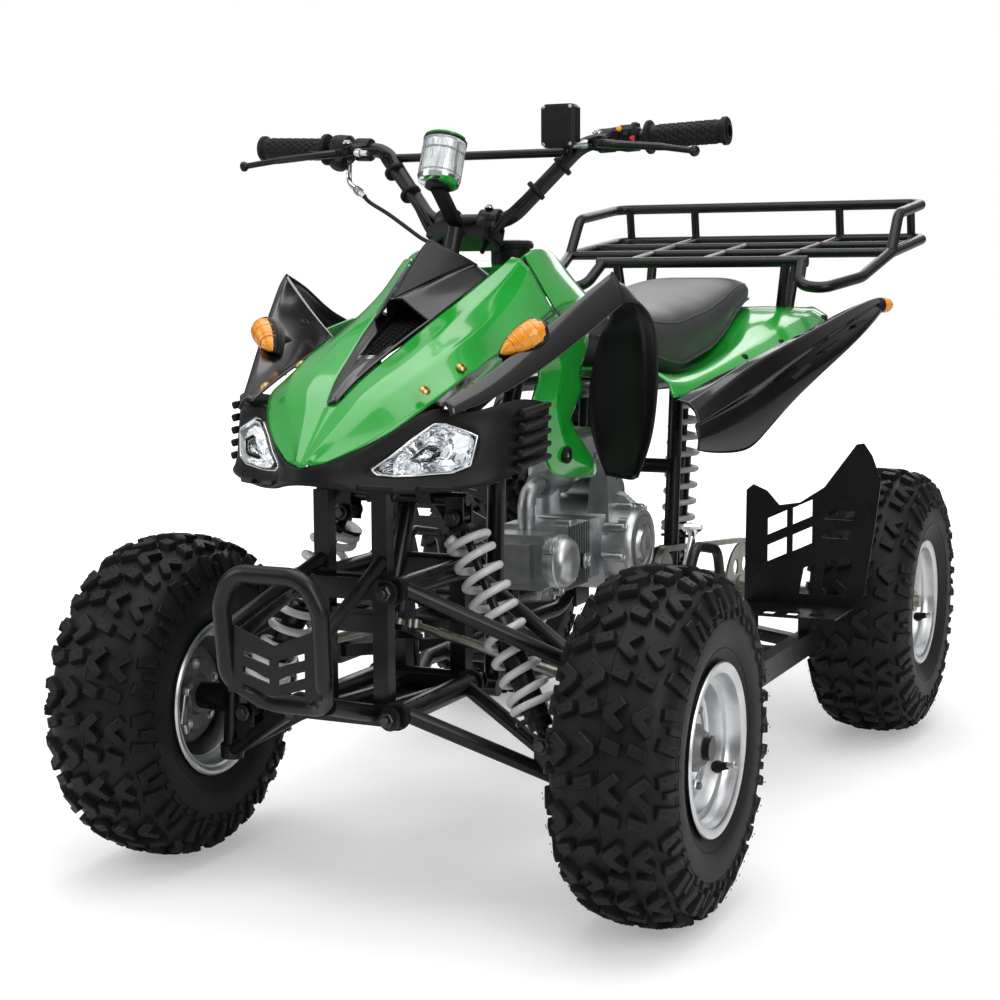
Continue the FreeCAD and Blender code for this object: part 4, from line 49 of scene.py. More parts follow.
X_AXIS, Y_AXIS, Z_AXIS = Vector((1, 0, 0)), Vector((0, 1, 0)), Vector((0, 0, 1))


def P(x, y, z):
    """Vector given in millimetres."""
    return Vector((x, y, z)) * MM


def F(x, back, z):
    """Point in millimetres, back counted from the front axle, as in the part's source."""
    return Vector((x * MM, FRONT + back * MM, z * MM))


def R(x, back, z):
    """The same with back counted from the rear axle."""
    return Vector((x * MM, REAR + back * MM, z * MM))


# Camera, solved from the photograph

AZIMUTH, ELEVATION, ROLL = (math.radians(angle) for angle in (25.12, 6.85, -0.31))
CAMERA_AT, FOCAL_LENGTH, SENSOR_WIDTH = (1.191, -2.888, 0.839), 67.03, 36.0


def camera():
    back = Vector((math.sin(AZIMUTH) * math.cos(ELEVATION), -math.cos(AZIMUTH) * math.cos(ELEVATION),
                   math.sin(ELEVATION)))
    level = Vector((math.cos(AZIMUTH), math.sin(AZIMUTH), 0))
    rise = back.cross(level)
    right = math.cos(ROLL) * level + math.sin(ROLL) * rise
    up = math.cos(ROLL) * rise - math.sin(ROLL) * level
    data = bpy.data.cameras.new("camera")
    data.lens = FOCAL_LENGTH
    data.sensor_width = SENSOR_WIDTH
    data.clip_end = 100.0
    cam = bpy.data.objects.new("camera", data)
    bpy.context.collection.objects.link(cam)
    cam.matrix_world = Matrix.Translation(CAMERA_AT) @ Matrix((right, up, back)).transposed().to_4x4()
    bpy.context.scene.camera = cam


camera()


# Materials

def feed(tree, socket, value):
    """Link another node's output to a socket, or set its value."""
    if isinstance(value, bpy.types.NodeSocket):
        tree.links.new(value, socket)
    else:
        socket.default_value = value


def node(tree, kind, setup=(), **inputs):
    """Shader node with its settings and inputs."""
    made = tree.nodes.new("ShaderNode" + kind)
    for key, value in dict(setup).items():
        setattr(made, key, value)
    for key, value in inputs.items():
        feed(tree, made.inputs[key.replace("_", " ")], value)
    return made


def maths(tree, operation, first, second):
    made = node(tree, "Math", {"operation": operation})
    feed(tree, made.inputs[0], first)
    feed(tree, made.inputs[1], second)
    return made.outputs[0]


def material(name, low, high, rough, metal=0.0, coat=0.0, scale=60.0, spread=0.08, bump=0.0, bump_scale=400.0,
             cells=False, wear=None, transmission=0.0, ior=1.5, specular=0.5, sheen=0.0):
    """Surface whose colour, roughness and relief vary with noise in the object's own space."""
    m = bpy.data.materials.new(name)
    m.use_nodes = True
    tree = m.node_tree
    place = node(tree, "TexCoord").outputs["Object"]

    def cloud(size, detail, roughness=0.5):
        made = node(tree, "TexNoise", Vector=place, Scale=size, Detail=detail, Roughness=roughness)
        return made.outputs["Fac"]

    def ramp(value, start, end, dark=(0, 0, 0), bright=(1, 1, 1)):
        made = node(tree, "ValToRGB", Fac=value)
        for element, position, shade in zip(made.color_ramp.elements, (start, end), (dark, bright)):
            element.position, element.color = position, (*shade, 1)
        return made.outputs["Color"]

    colour = ramp(cloud(scale, 4.0, 0.6), 0.3, 0.7, low, high)
    if wear:
        shade, amount = wear
        edges = ramp(node(tree, "NewGeometry").outputs["Pointiness"], 0.52, 0.62)
        share = maths(tree, "MULTIPLY", maths(tree, "MULTIPLY", edges, cloud(180.0, 6.0)), amount)
        colour = node(tree, "Mix", {"data_type": "RGBA"}, Factor=share, A=colour, B=(*shade, 1)).outputs["Result"]
    gloss = node(tree, "MapRange", Value=cloud(scale * 0.35, 6.0), To_Min=max(0.02, rough - spread),
                 To_Max=rough + spread)
    surface = {"Base Color": colour, "Roughness": gloss.outputs["Result"], "Metallic": metal, "Coat Weight": coat,
               "Coat Roughness": 0.06, "Transmission Weight": transmission, "IOR": ior,
               "Specular IOR Level": specular, "Sheen Weight": sheen}
    if bump:
        if cells:
            height = node(tree, "TexVoronoi", {"feature": "DISTANCE_TO_EDGE"}, Vector=place,
                          Scale=bump_scale).outputs["Distance"]
        else:
            height = cloud(bump_scale, 3.0)
        surface["Normal"] = node(tree, "Bump", Strength=bump, Distance=0.001, Height=height).outputs["Normal"]
    for key, value in surface.items():
        feed(tree, tree.nodes["Principled BSDF"].inputs[key], value)
    return m


M = {
    "tyre": material("tyre_rubber", (0.007, 0.0072, 0.0076), (0.013, 0.0132, 0.014), 0.50, scale=35,
                     bump=0.16, bump_scale=900, specular=0.20),
    "rim": material("rim_silver", (0.60, 0.61, 0.62), (0.76, 0.77, 0.78), 0.30, metal=1.0, spread=0.07, scale=25,
                    bump=0.10, bump_scale=1400, wear=((0.9, 0.9, 0.9), 0.6)),
    "cast": material("cast_grey", (0.14, 0.14, 0.145), (0.24, 0.24, 0.245), 0.5, metal=0.8, bump=0.5,
                     bump_scale=700),
    "black_steel": material("black_powder_coat", (0.004, 0.004, 0.0045), (0.008, 0.008, 0.0085), 0.28,
                            spread=0.06, scale=40, bump=0.10, bump_scale=900, specular=0.36),
    "rod": material("plated_steel", (0.30, 0.29, 0.25), (0.46, 0.45, 0.40), 0.38, metal=1.0, scale=50, bump=0.15,
                    bump_scale=900),
    "rubber": material("grip_rubber", (0.007, 0.007, 0.0075), (0.012, 0.012, 0.0125), 0.5, bump=0.3,
                       bump_scale=600, specular=0.20),
    "plastic": material("black_grained_plastic", (0.006, 0.006, 0.0065), (0.010, 0.010, 0.0105), 0.40, scale=30,
                        bump=0.25, bump_scale=1200, specular=0.20),
    "gloss_black": material("gloss_black_plastic", (0.003, 0.003, 0.0035), (0.005, 0.005, 0.0055), 0.14,
                            coat=0.35, spread=0.05, scale=12, bump=0.03, bump_scale=300),
    "green": material("gloss_green_plastic", (0.004, 0.30, 0.022), (0.008, 0.37, 0.034), 0.20, coat=0.7,
                      spread=0.05, scale=10, bump=0.02, bump_scale=60),
    "clear": material("clear_plastic", (0.82, 0.86, 0.86), (0.9, 0.93, 0.93), 0.08, spread=0.03,
                      transmission=0.85, ior=1.45),
    "spring": material("spring_white_paint", (0.66, 0.67, 0.68), (0.80, 0.81, 0.82), 0.30, coat=0.3,
                       bump=0.10, bump_scale=500),
    "alloy": material("cast_aluminium", (0.36, 0.37, 0.38), (0.50, 0.51, 0.52), 0.33, metal=1.0, scale=45,
                      bump=0.25, bump_scale=1100),
    "cast_dark": material("dark_plated_steel", (0.045, 0.045, 0.047), (0.085, 0.085, 0.088), 0.36, metal=0.9,
                          scale=70, bump=0.2, bump_scale=900),
    "alloy_bright": material("machined_aluminium", (0.52, 0.53, 0.54), (0.64, 0.65, 0.66), 0.36, metal=1.0,
                             scale=40, spread=0.06, bump=0.15, bump_scale=1100),
    "lens": material("clear_lens", (0.92, 0.94, 0.96), (0.98, 0.99, 1.0), 0.04, spread=0.02, transmission=1.0,
                     ior=1.45),
    "chrome": material("reflector_chrome", (0.80, 0.81, 0.83), (0.92, 0.93, 0.94), 0.12, metal=1.0, spread=0.04),
    "satin": material("satin_black_plastic", (0.006, 0.006, 0.0065), (0.010, 0.010, 0.0105), 0.30, spread=0.05,
                      scale=24, bump=0.10, bump_scale=900, specular=0.28),
    "seat": material("seat_leather", (0.012, 0.012, 0.0135), (0.021, 0.021, 0.023), 0.42, scale=22,
                     bump=0.55, bump_scale=330, cells=True, sheen=0.1),
    "amber": material("amber_lens", (0.80, 0.25, 0.005), (0.95, 0.36, 0.012), 0.14, coat=0.6, spread=0.04,
                      bump=0.4, bump_scale=160, cells=True),
    "red": material("red_lens", (0.35, 0.004, 0.004), (0.5, 0.01, 0.01), 0.14, coat=0.6),
    "brass": material("yellow_zinc_bolt", (0.46, 0.33, 0.10), (0.60, 0.44, 0.16), 0.34, metal=1.0),
    "zinc": material("zinc_bolt", (0.50, 0.51, 0.52), (0.66, 0.67, 0.68), 0.34, metal=1.0),
}

# Slots of the record that aren't named like their material
SLOT_MATERIAL = {
    "rim_steel": "rim", "rod_steel": "rod", "black_plastic": "plastic", "green_plastic": "green",
    "clear_plastic": "clear", "spring_white": "spring", "engine_alloy": "alloy", "lamp_glass": "lens",
    "seat_cover": "seat", "red_lens": "red",
}
for part in frame["record"]["subparts"]:
    solid = frame["nodes"][part["node"]]
    slot = part["material_slot"]
    look = M[SLOT_MATERIAL.get(slot, slot)]
    for holder in solid.material_slots:
        holder.material = look
    if not solid.material_slots:
        solid.data.materials.append(look)


# Helpers for building pieces

def pairs(flat):
    return list(zip(flat[::2], flat[1::2]))


def mirror(p):
    return Vector((-p[0], p[1], p[2]))


def frame_of(axis):
    helper = Z_AXIS if abs(axis.z) < 0.9 else Y_AXIS
    side = axis.cross(helper).normalized()
    return side, axis.cross(side).normalized()


def around(axis, count, phase=0.0, sweep=1.0):
    """Unit vectors round an axis."""
    side, up = frame_of(axis)
    angles = [TURN * sweep * k / count + phase for k in range(count)]
    return [side * math.cos(angle) + up * math.sin(angle) for angle in angles]


def round_x(count, phase=0.0):
    """Unit vectors round the X axis, the first one to the rear where phase is 0."""
    angles = [TURN * k / count + phase for k in range(count)]
    return [Vector((0, math.cos(angle), math.sin(angle))) for angle in angles]


def rounded(points, bend, steps=6):
    """Corner points of a rigid tube with an arc at each corner."""
    path = [points[0]]
    for before, corner, after in zip(points, points[1:], points[2:]):
        a, b = (corner - before), (after - corner)
        cut = min(bend * math.tan(a.angle(b) / 2), 0.48 * a.length, 0.48 * b.length)
        enter, leave = corner - a.normalized() * cut, corner + b.normalized() * cut
        for k in range(steps + 1):
            t = k / steps
            path.append((1 - t) ** 2 * enter + 2 * t * (1 - t) * corner + t ** 2 * leave)
    return path + [points[-1]]


def spline(p0, p1, p2, p3, t):
    """Catmull-Rom value between p1 and p2."""
    return 0.5 * (2 * p1 + (p2 - p0) * t + (2 * p0 - 5 * p1 + 4 * p2 - p3) * t ** 2 +
                  (3 * p1 - p0 - 3 * p2 + p3) * t ** 3)


def smooth_path(points, steps=8, first=None, last=None):
    """Curve through the points; first and last lie beyond its ends."""
    knots = [first or points[0], *points, last or points[-1]]
    path = [spline(*knots[i:i + 4], k / steps) for i in range(len(points) - 1) for k in range(steps)]
    return path + [points[-1]]


def edge_uses(faces):
    """How many faces share each edge."""
    uses = {}
    for face in faces:
        for a, b in zip(face, face[1:] + face[:1]):
            key = (min(a, b), max(a, b))
            uses[key] = uses.get(key, 0) + 1
    return uses


def outline(faces, inside=0.0):
    """Crease of 1 along the open edges, and another one along the rest."""
    return {edge: 1.0 if count == 1 else inside for edge, count in edge_uses(faces).items()}


def compact(verts, faces):
    """The vertices in use, the faces renumbered, and the numbering."""
    used = sorted({k for face in faces for k in face})
    number = {k: n for n, k in enumerate(used)}
    return [verts[k] for k in used], [tuple(number[k] for k in face) for face in faces], number


class Maker:
    """A mesh under construction: points in metres, widths, radii and profiles in millimetres."""

    def __init__(self):
        self.verts, self.faces, self.looks, self.names = [], [], [], []

    def put(self, verts, faces, look):
        base = len(self.verts)
        if look not in self.names:
            self.names.append(look)
        self.verts += verts
        self.faces += [[base + i for i in face] for face in faces]
        self.looks += [self.names.index(look)] * len(faces)

    def rings(self, rings, look, caps=True):
        """Skin over rings of equal count."""
        count = len(rings[0])
        last = (len(rings) - 1) * count
        faces = []
        for base in range(0, last, count):
            for j in range(count):
                a, b = base + j, base + (j + 1) % count
                faces.append((a, b, b + count, a + count))
        if caps:
            faces += [tuple(reversed(range(count))), tuple(range(last, last + count))]
        self.put([p for ring in rings for p in ring], faces, look)

    def lathe(self, origin, axis, profile, look, sides=40, caps=True, phase=0.0, sweep=1.0):
        """Profile turned about an axis: along and radius in turn."""
        origin, axis = Vector(origin), Vector(axis).normalized()
        outs = around(axis, sides, phase, sweep)
        self.rings([[origin + axis * (along * MM) + out * (radius * MM) for out in outs]
                    for along, radius in pairs(profile)], look, caps)

    def follow(self, path, radius, look, sides=12, caps=True, taper=0.0):
        """Round bar along a path."""
        rings = []
        side, up = frame_of((path[1] - path[0]).normalized())
        for i, point in enumerate(path):
            ahead = (path[min(len(path) - 1, i + 1)] - path[max(0, i - 1)]).normalized()
            side = (side - ahead * side.dot(ahead)).normalized()
            up = ahead.cross(side)
            r = radius * MM * (1 - taper * i / (len(path) - 1))
            rings.append([point + (side * math.cos(TURN * k / sides) + up * math.sin(TURN * k / sides)) * r
                          for k in range(sides)])
        self.rings(rings, look, caps)

    def box(self, start, end, width, depth, look, up=Z_AXIS, round_by=1.5, shrink=1.0):
        """Bar between two points with rounded long edges."""
        start, end, up = Vector(start), Vector(end), Vector(up)
        along = (end - start).normalized()
        up = (up - along * up.dot(along)).normalized()
        side = up.cross(along)
        w, d = width * MM / 2, depth * MM / 2
        b = min(round_by * MM, w * 0.6, d * 0.6)
        corners = [(w - b, d), (b - w, d), (-w, d - b), (-w, b - d), (b - w, -d), (w - b, -d), (w, b - d), (w, d - b)]
        length, tip = (end - start).length, 1 - b / max(w, d)
        steps = ((0, tip), (b, 1), (length - b, shrink), (length, shrink * tip))
        self.rings([[start + along * t + side * x * s + up * y * s for x, y in corners] for t, s in steps], look)

    def bolt(self, at, axis, radius, look="zinc", height=None, washer=True):
        """Hexagon head on a washer."""
        height = height or radius * 0.8
        if washer:
            self.lathe(at, axis, (-1, radius * 1.35, 1.2, radius * 1.35, 1.6, radius * 1.25), look, 20)
        self.lathe(at, axis, (0, radius, height * 0.85, radius, height, radius * 0.86), look, 6)

    def button(self, at, axis, r, look="brass"):
        """Round screw head with a socket."""
        self.lathe(at, axis, (-1, r, 0.5, r, r * 0.35, r * 0.8, r * 0.5, r * 0.42, r * 0.2, r * 0.4), look, 16)

    def make(self, name, body, replaces=(), slot=None, angle=34.0, level=0, creases=None, thickness=0.0):
        """The finished piece; thickness is in metres."""
        mesh = bpy.data.meshes.new(name)
        mesh.from_pydata([tuple(p) for p in self.verts], [], self.faces)
        for look in self.names:
            mesh.materials.append(M[look])
        mesh.polygons.foreach_set("material_index", self.looks)
        mesh.polygons.foreach_set("use_smooth", [True] * len(mesh.polygons))
        mesh.update()
        if angle:
            mesh.set_sharp_from_angle(angle=math.radians(angle))
        piece = bpy.data.objects.new(name, mesh)
        bpy.context.collection.objects.link(piece)
        if creases:
            store = mesh.attributes.new("crease_edge", "FLOAT", "EDGE")
            for edge in mesh.edges:
                store.data[edge.index].value = creases.get(tuple(sorted(edge.vertices)), 0.0)
        if level:
            smooth = piece.modifiers.new("smooth", "SUBSURF")
            smooth.levels = smooth.render_levels = level
        if thickness:
            wall = piece.modifiers.new("wall", "SOLIDIFY")
            wall.thickness = thickness
            wall.offset = -1.0
        if replaces:
            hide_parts(*replaces)
        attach(piece, body)
        return piece


def sheet(name, rows, look, replaces=(), level=2, crease_columns=(), crease_rows=(), flip=False, skip=()):
    """Moulded panel from rows of points: smooth inside, true to its outline, creased along given lines."""
    across = len(rows[0])
    faces = []
    for i in range(len(rows) - 1):
        for j in range(across - 1):
            if (i, j) not in skip:
                a = i * across + j
                face = (a, a + 1, a + across + 1, a + across)
                faces.append(face[::-1] if flip else face)
    creases = outline(faces)
    for j, amount in crease_columns:
        for i in range(len(rows) - 1):
            creases[(i * across + j, (i + 1) * across + j)] = amount
    for i, amount in crease_rows:
        for j in range(across - 1):
            creases[(i * across + j, i * across + j + 1)] = amount
    verts, faces, number = compact([p for row in rows for p in row], faces)
    creases = {(number[a], number[b]): amount for (a, b), amount in creases.items() if a in number and b in number}
    maker = Maker()
    maker.put(verts, faces, look)
    maker.make(name, "chassis", replaces, level=level, creases=creases, thickness=WALL, angle=0)


def row_pair(side, middle):
    """A row across the vehicle from its left half."""
    return [mirror(p) for p in reversed(side)] + [middle] + side


def spots(side, flat, at=F):
    """Points from x, back and z in turn; side -1 mirrors them."""
    return [at(side * flat[i], flat[i + 1], flat[i + 2]) for i in range(0, len(flat), 3)]


# Tyres

# Half of the carcass: out from the middle plane, and radius on the front tyre
HALF_TYRE = (0, 223, 18, 222.5, 36, 220.5, 55, 215.5, 69, 207.5, 79.5, 194, 85, 178, 86.5, 160, 84.5, 142, 79, 128,
             74.5, 118, 72.5, 113, 71.8, 107, 71.6, 102)
BEAD_R, HALF_WIDEST, LUG_ROOM, LUG_GROUPS, TYRE_SIDES = 102, 86.5, 12, 16, 96
# Distances of the sidewall's ridges from the crown, along the carcass
RIDGES = (105, 112, 150)
# Lugs beside the crown, then the second row, then the shoulder: height, outline and nubs, both as
# flat distances along the carcass and round the wheel
LUGS = (
    (11.5, (3, -6, 24, -22, 32, -14, 17, 0, 32, 14, 24, 22, 3, 6), (22, -14, 22, 14)),
    (11.5, (6, 26, 30, 34, 27, 50, 3, 42), (12, 35, 22, 43)),
    (11.0, (40, -2, 60, -18, 68, -9, 53, 4, 66, 18, 58, 26, 40, 9), (58, -8, 58, 16)),
    (11.0, (40, 30, 62, 40, 58, 54, 37, 45), (45, 40, 55, 46)),
    (9.5, (74, -16, 104, -22, 105, -7, 75, 0), (84, -12, 95, -14)),
    (9.5, (74, 22, 104, 32, 101, 47, 71, 38), (82, 31, 93, 36)),
    (6.0, (86, 6, 112, 8, 112, 17, 86, 16), ()),
    (3.5, (108, -20, 119, -20, 117, -10, 108, -9), ()),
    (3.5, (108, 34, 119, 36, 117, 45, 107, 44), ()))


def tyre(name, body, centre, radius, half_width):
    """Carcass with ridges and lugs that stay within the solid's radius and half width."""
    grow = (half_width - 3.5) / HALF_WIDEST
    crown = radius - LUG_ROOM
    tall = (crown - BEAD_R) / (HALF_TYRE[1] - BEAD_R)
    curve = [Vector((x * grow, BEAD_R + (r - BEAD_R) * tall)) for x, r in pairs(HALF_TYRE)]
    fine = smooth_path(curve, 4, Vector((-curve[1].x, curve[1].y)), 2 * curve[-1] - curve[-2])
    lengths = [0.0]
    for a, b in zip(fine, fine[1:]):
        lengths.append(lengths[-1] + (b - a).length)

    def surface(u):
        """Point and outward normal of the carcass at an arc length from the crown."""
        sign, u = (-1, -u) if u < 0 else (1, u)
        for i in range(len(fine) - 1):
            if lengths[i + 1] >= u:
                p = fine[i].lerp(fine[i + 1], (u - lengths[i]) / (lengths[i + 1] - lengths[i]))
                d = (fine[i + 1] - fine[i]).normalized()
                return sign * p.x, p.y, sign * -d.y, d.x
        return sign * fine[-1].x, fine[-1].y, sign, 0.0

    def polar(x, r, turn):
        return Vector((x, -r * math.sin(turn), r * math.cos(turn)))

    centre = Vector(centre)
    maker = Maker()
    profile = [v for p in reversed(fine[1:]) for v in (-p.x, p.y)] + [v for p in fine for v in p]
    maker.lathe(centre, X_AXIS, profile, "tyre", TYRE_SIDES, caps=False)
    # ridges on the sidewalls and a mould seam round the crown
    for ridge in RIDGES:
        for sign in (-1, 1):
            x, r, nx, nr = surface(sign * ridge)
            maker.lathe(centre, X_AXIS, (x - nx - sign * nr * 1.2, r + 1.2, x + nx * 0.9, r,
                                         x - nx + sign * nr * 1.2, r - 1.2), "tyre", TYRE_SIDES, caps=False)
    maker.lathe(centre, X_AXIS, (-0.8, crown - 0.6, 0, crown + 0.7, 0.8, crown - 0.6), "tyre", TYRE_SIDES, caps=False)

    def block(height, points, nubs, angle, sign):
        mu = sum(u for u, s in points) / len(points)
        ms = sum(s for u, s in points) / len(points)
        rings = []
        for lift, scale in ((-2.0, 1.10), (0.6, 1.04), (height - 1.4, 0.95), (height - 0.5, 0.90), (height, 0.84)):
            ring = []
            for u, s in points:
                x, r, nx, nr = surface(sign * (mu + (u - mu) * scale) * grow)
                x = max(-half_width, min(half_width, x + nx * lift))
                turn = angle + (ms + (s - ms) * scale) / crown
                ring.append(centre + polar(x, min(r + nr * lift, radius), turn) * MM)
            rings.append(ring[::-1] if sign > 0 else ring)
        maker.rings(rings, "tyre")
        for u, s in nubs:
            x, r, nx, nr = surface(sign * u * grow)
            lift = height - 0.4
            turn = angle + s / crown
            at = centre + polar(x + nx * lift, min(r + nr * lift, radius - 1), turn) * MM
            maker.lathe(at, polar(nx, nr, turn), (0, 1.6, 0.9, 1.3), "tyre", 6)

    for group in range(LUG_GROUPS):
        for sign in (1, -1):
            angle = TURN * (group + (0.5 if sign < 0 else 0.0)) / LUG_GROUPS
            for height, points, nubs in LUGS:
                block(height, pairs(points), pairs(nubs), angle, sign)
    maker.make(name, body, (name.replace("_tread", ""),), "tyre", angle=28)


# Rims

RIM = (-70, 112.4, -74, 113.6, -76.5, 111, -76, 107, -74, 104.5, -72.5, 101.8, -62, 101.2, -54, 97.5, -50, 90,
       -38, 86, 30, 86, 44, 86, 52, 92, 56, 97.5, 63, 101.2, 72, 101.8, 73.5, 104, 73.6, 108, 74, 112.5, 76, 114,
       78, 112.8, 78.4, 110.5, 77.2, 107, 76.6, 103, 74.6, 99.4, 66, 98.2, 60, 96.6, 56, 93.6, 54.4, 88, 53.6, 84.6,
       50, 83, 42, 81.6, 36, 79.6, 33.4, 76.6, 33, 70, 33.6, 62, 36.2, 55, 36.6, 46, 36.2, 40, 39, 36.6, 39.4, 32.2,
       36.2, 31.4, 34, 31.6, 33.4, 36, 32.6, 44, 32.4, 56, 30.2, 64, 29.6, 72, 31, 79, 36, 83, 30, 83, -36, 83,
       -47, 87, -51, 94, -60, 98.2, -70, 98.8, -73, 101, -70.5, 106, -70, 112.4)
VALVE_ANGLE, VALVE_R = 2.1, 0.0835


def rim(maker, centre, side):
    """Silver pressed rim with its valve and four stud nuts; side is +1 where its open face looks to +X."""
    centre, axis = Vector(centre), X_AXIS * side
    maker.lathe(centre, axis, RIM, "rim", 72, caps=False)
    out = Vector((0, math.sin(VALVE_ANGLE), math.cos(VALVE_ANGLE)))
    at = centre + axis * 0.052 + out * VALVE_R
    out = (axis * 0.82 - out * 0.57).normalized()
    maker.lathe(at - out * 0.004, out, (0, 8.5, 6, 8.5, 10, 6.2, 22, 5.2, 25, 4.2), "rubber", 16)
    maker.lathe(at + out * 0.021, out, (0, 3.5, 8, 3.5, 9, 4.2, 15, 4.2, 16, 3), "zinc", 10)
    for out in round_x(4):
        at = centre + axis * 0.0395 + out * 0.050
        maker.bolt(at, axis, 8.8, "zinc", 9)
        maker.lathe(at, axis, (0, 5, 13.5, 5, 14.2, 4.2), "cast", 14)


WHEELS = (("front_left", "front_left_wheel", (0.3775, FRONT, FRONT_R), 1, 235, 85.5),
          ("front_right", "front_right_wheel", (-0.3775, FRONT, FRONT_R), -1, 235, 85.5),
          ("rear_left", "rear_wheels", (0.3875, REAR, REAR_R), 1, 243, 93.5),
          ("rear_right", "rear_wheels", (-0.3875, REAR, REAR_R), -1, 243, 93.5))
rear_rims = Maker()
for place, body, centre, side, radius, half_width in WHEELS:
    tyre("%s_tyre_tread" % place, body, centre, radius, half_width)
    front = place.startswith("front")
    maker = Maker() if front else rear_rims
    rim(maker, centre, side)
    if front:
        maker.make("%s_rim_pressing" % place, body, ("%s_rim" % place,), "rim_steel", angle=30)
rear_rims.make("rear_rim_pressings", "rear_wheels", ("rear_rims",), "rim_steel", angle=30)

# Springs

COIL_R, WIRE_R, TURNS, END_TURNS, CLOSING, TURN_STEPS = 0.0272, 0.0056, 10.5, 1.1, 0.35, 22
TOP_CUP, LOW_CUP = 0.0233, 0.0433
SHOCK_TOP, SHOCK_LOW = F(86, 0, 518), F(230, -34, 230)


def spring(maker, top, low):
    """Coil between a shock absorber's cups, its end turns closed."""
    along = (low - top).normalized()
    start = top + along * (TOP_CUP + WIRE_R)
    length = (low - top).length - TOP_CUP - LOW_CUP - 2 * WIRE_R
    side, up = frame_of(along)
    steps = int(TURNS * TURN_STEPS)
    end = END_TURNS / TURNS
    path = []
    for i in range(steps + 1):
        t = i / steps
        if t < end:
            rise = t * CLOSING
        elif t > 1 - end:
            rise = 1 - (1 - t) * CLOSING
        else:
            rise = CLOSING * end + (t - end) / (1 - 2 * end) * (1 - 2 * CLOSING * end)
        angle = TURN * TURNS * t
        path.append(start + along * (length * rise) + (side * math.cos(angle) + up * math.sin(angle)) * COIL_R)
    maker.follow(path, WIRE_R / MM, "spring", 10)


coils = Maker()
for top, low in ((SHOCK_TOP, SHOCK_LOW), (mirror(SHOCK_TOP), mirror(SHOCK_LOW)), (R(0, 18, 660), R(0, -46, 310))):
    spring(coils, top, low)
coils.make("coil_springs", "chassis", ("springs",), "spring_white", angle=0)

# Hood with its insert

# Back and the ridge's z, then x and z of the inner edge, the crease and the outer edge
HOOD = (
    (-266, 608, 4, 608, 10, 609, 26, 612), (-225, 646, 6, 645, 40, 646, 76, 636),
    (-188, 680, 8, 678, 66, 684, 104, 662), (-146, 712, 18, 709, 90, 708, 128, 689),
    (-90, 752, 28, 734, 98, 732, 131, 704), (-45, 786, 37, 757, 100, 749, 132, 717),
    (25, 838, 50, 790, 104, 768, 135, 738), (135, 872, 70, 840, 112, 806, 138, 772),
    (186, 872, 80, 866, 106, 850, 140, 788))
# Back, x and z of the edge, z of the middle
INSERT = ((-190, 5, 676, 684), (-146, 15, 709, 714), (-90, 25, 736, 738), (-45, 34, 759, 755), (0, 42, 778, 770),
          (30, 49, 792, 780))
# Inner and outer edge of the brows
CROWN = ((0, -16, 811), (10, 8, 820), (22, 42, 832), (36, 84, 845), (48, 124, 856))
OUTER = ((44, 2, 779), (50, 25, 791), (56, 52, 804), (63, 92, 822), (70, 134, 841))

rows = []
for back, ridge, ix, iz, cx, cz, ex, ez in HOOD:
    rows.append(row_pair([F(ix, back, iz), F((ix + cx) / 2, back + 2, (iz + cz) / 2 + 6), F(cx, back + 4, cz),
                          F(ex, back + 12, ez)], F(0, back, ridge)))
sheet("hood_shell", rows, "green", ("hood",), level=3, skip={(i, j) for i in range(2, 8) for j in (3, 4)},
      crease_columns=((1, 0.85), (2, 0.45), (6, 0.45), (7, 0.85), (4, 0.95)), crease_rows=((2, 0.25), (5, 0.2)))

rows = [row_pair([F(x * 0.5, back, edge * 0.35 + middle * 0.65), F(x, back, edge + 3)], F(0, back - 3, middle))
        for back, x, edge, middle in INSERT]
sheet("hood_insert_frame", rows, "gloss_black", ("hood_insert",), crease_columns=((1, 0.8), (3, 0.8)),
      skip={(i, j) for i in (2, 3, 4) for j in (1, 2)})

# brows beside the screen and the screen's scoop
for side, place in SIDES:
    rows = []
    for (x0, b0, z0), (x1, b1, z1) in zip(CROWN, OUTER):
        inner, outer = F(side * x0, b0, z0), F(side * x1, b1, z1)
        fold = F(side * (x0 + (x1 - x0) * 0.22), b0 + (b1 - b0) * 0.16, z0 + (z1 - z0) * 0.05 + 1)
        rows.append([inner, fold, inner.lerp(outer, 0.65) + P(0, 0, 1.5), outer])
    sheet("insert_brow_" + place, rows, "gloss_black", level=3, flip=side < 0, crease_columns=((1, 0.7),))
rows = []
for t, (x, b, z) in zip((0.06, 0.28, 0.52, 0.78, 1.0), CROWN):
    top, low = F(0, -16 + 100 * t, 811 + 79 * t), F(x, b, z + 1)
    rows.append(row_pair([top.lerp(low, 0.5) + P(t, 0, 1.6 * t), low], top))
rows.append(row_pair([F(26, 116, 874), F(50, 138, 856)], F(0, 98, 889)))
sheet("screen_cowl", rows, "satin", level=3, crease_columns=((2, 0.75),), crease_rows=((4, 0.8),))

# hexagonal mesh in the insert's opening
CELL, MESH_BACK, MESH_FRONT, MESH_END = 0.0056, -40, -86, 62
MESH_AT, MESH_UP = F(0, MESH_BACK, 755.5), (F(0, 20, 778) - F(0, -90, 737.5)).normalized()
MESH_OUT = X_AXIS.cross(MESH_UP)


def mesh_point(x, y, out):
    return MESH_AT + X_AXIS * x + MESH_UP * y + MESH_OUT * out


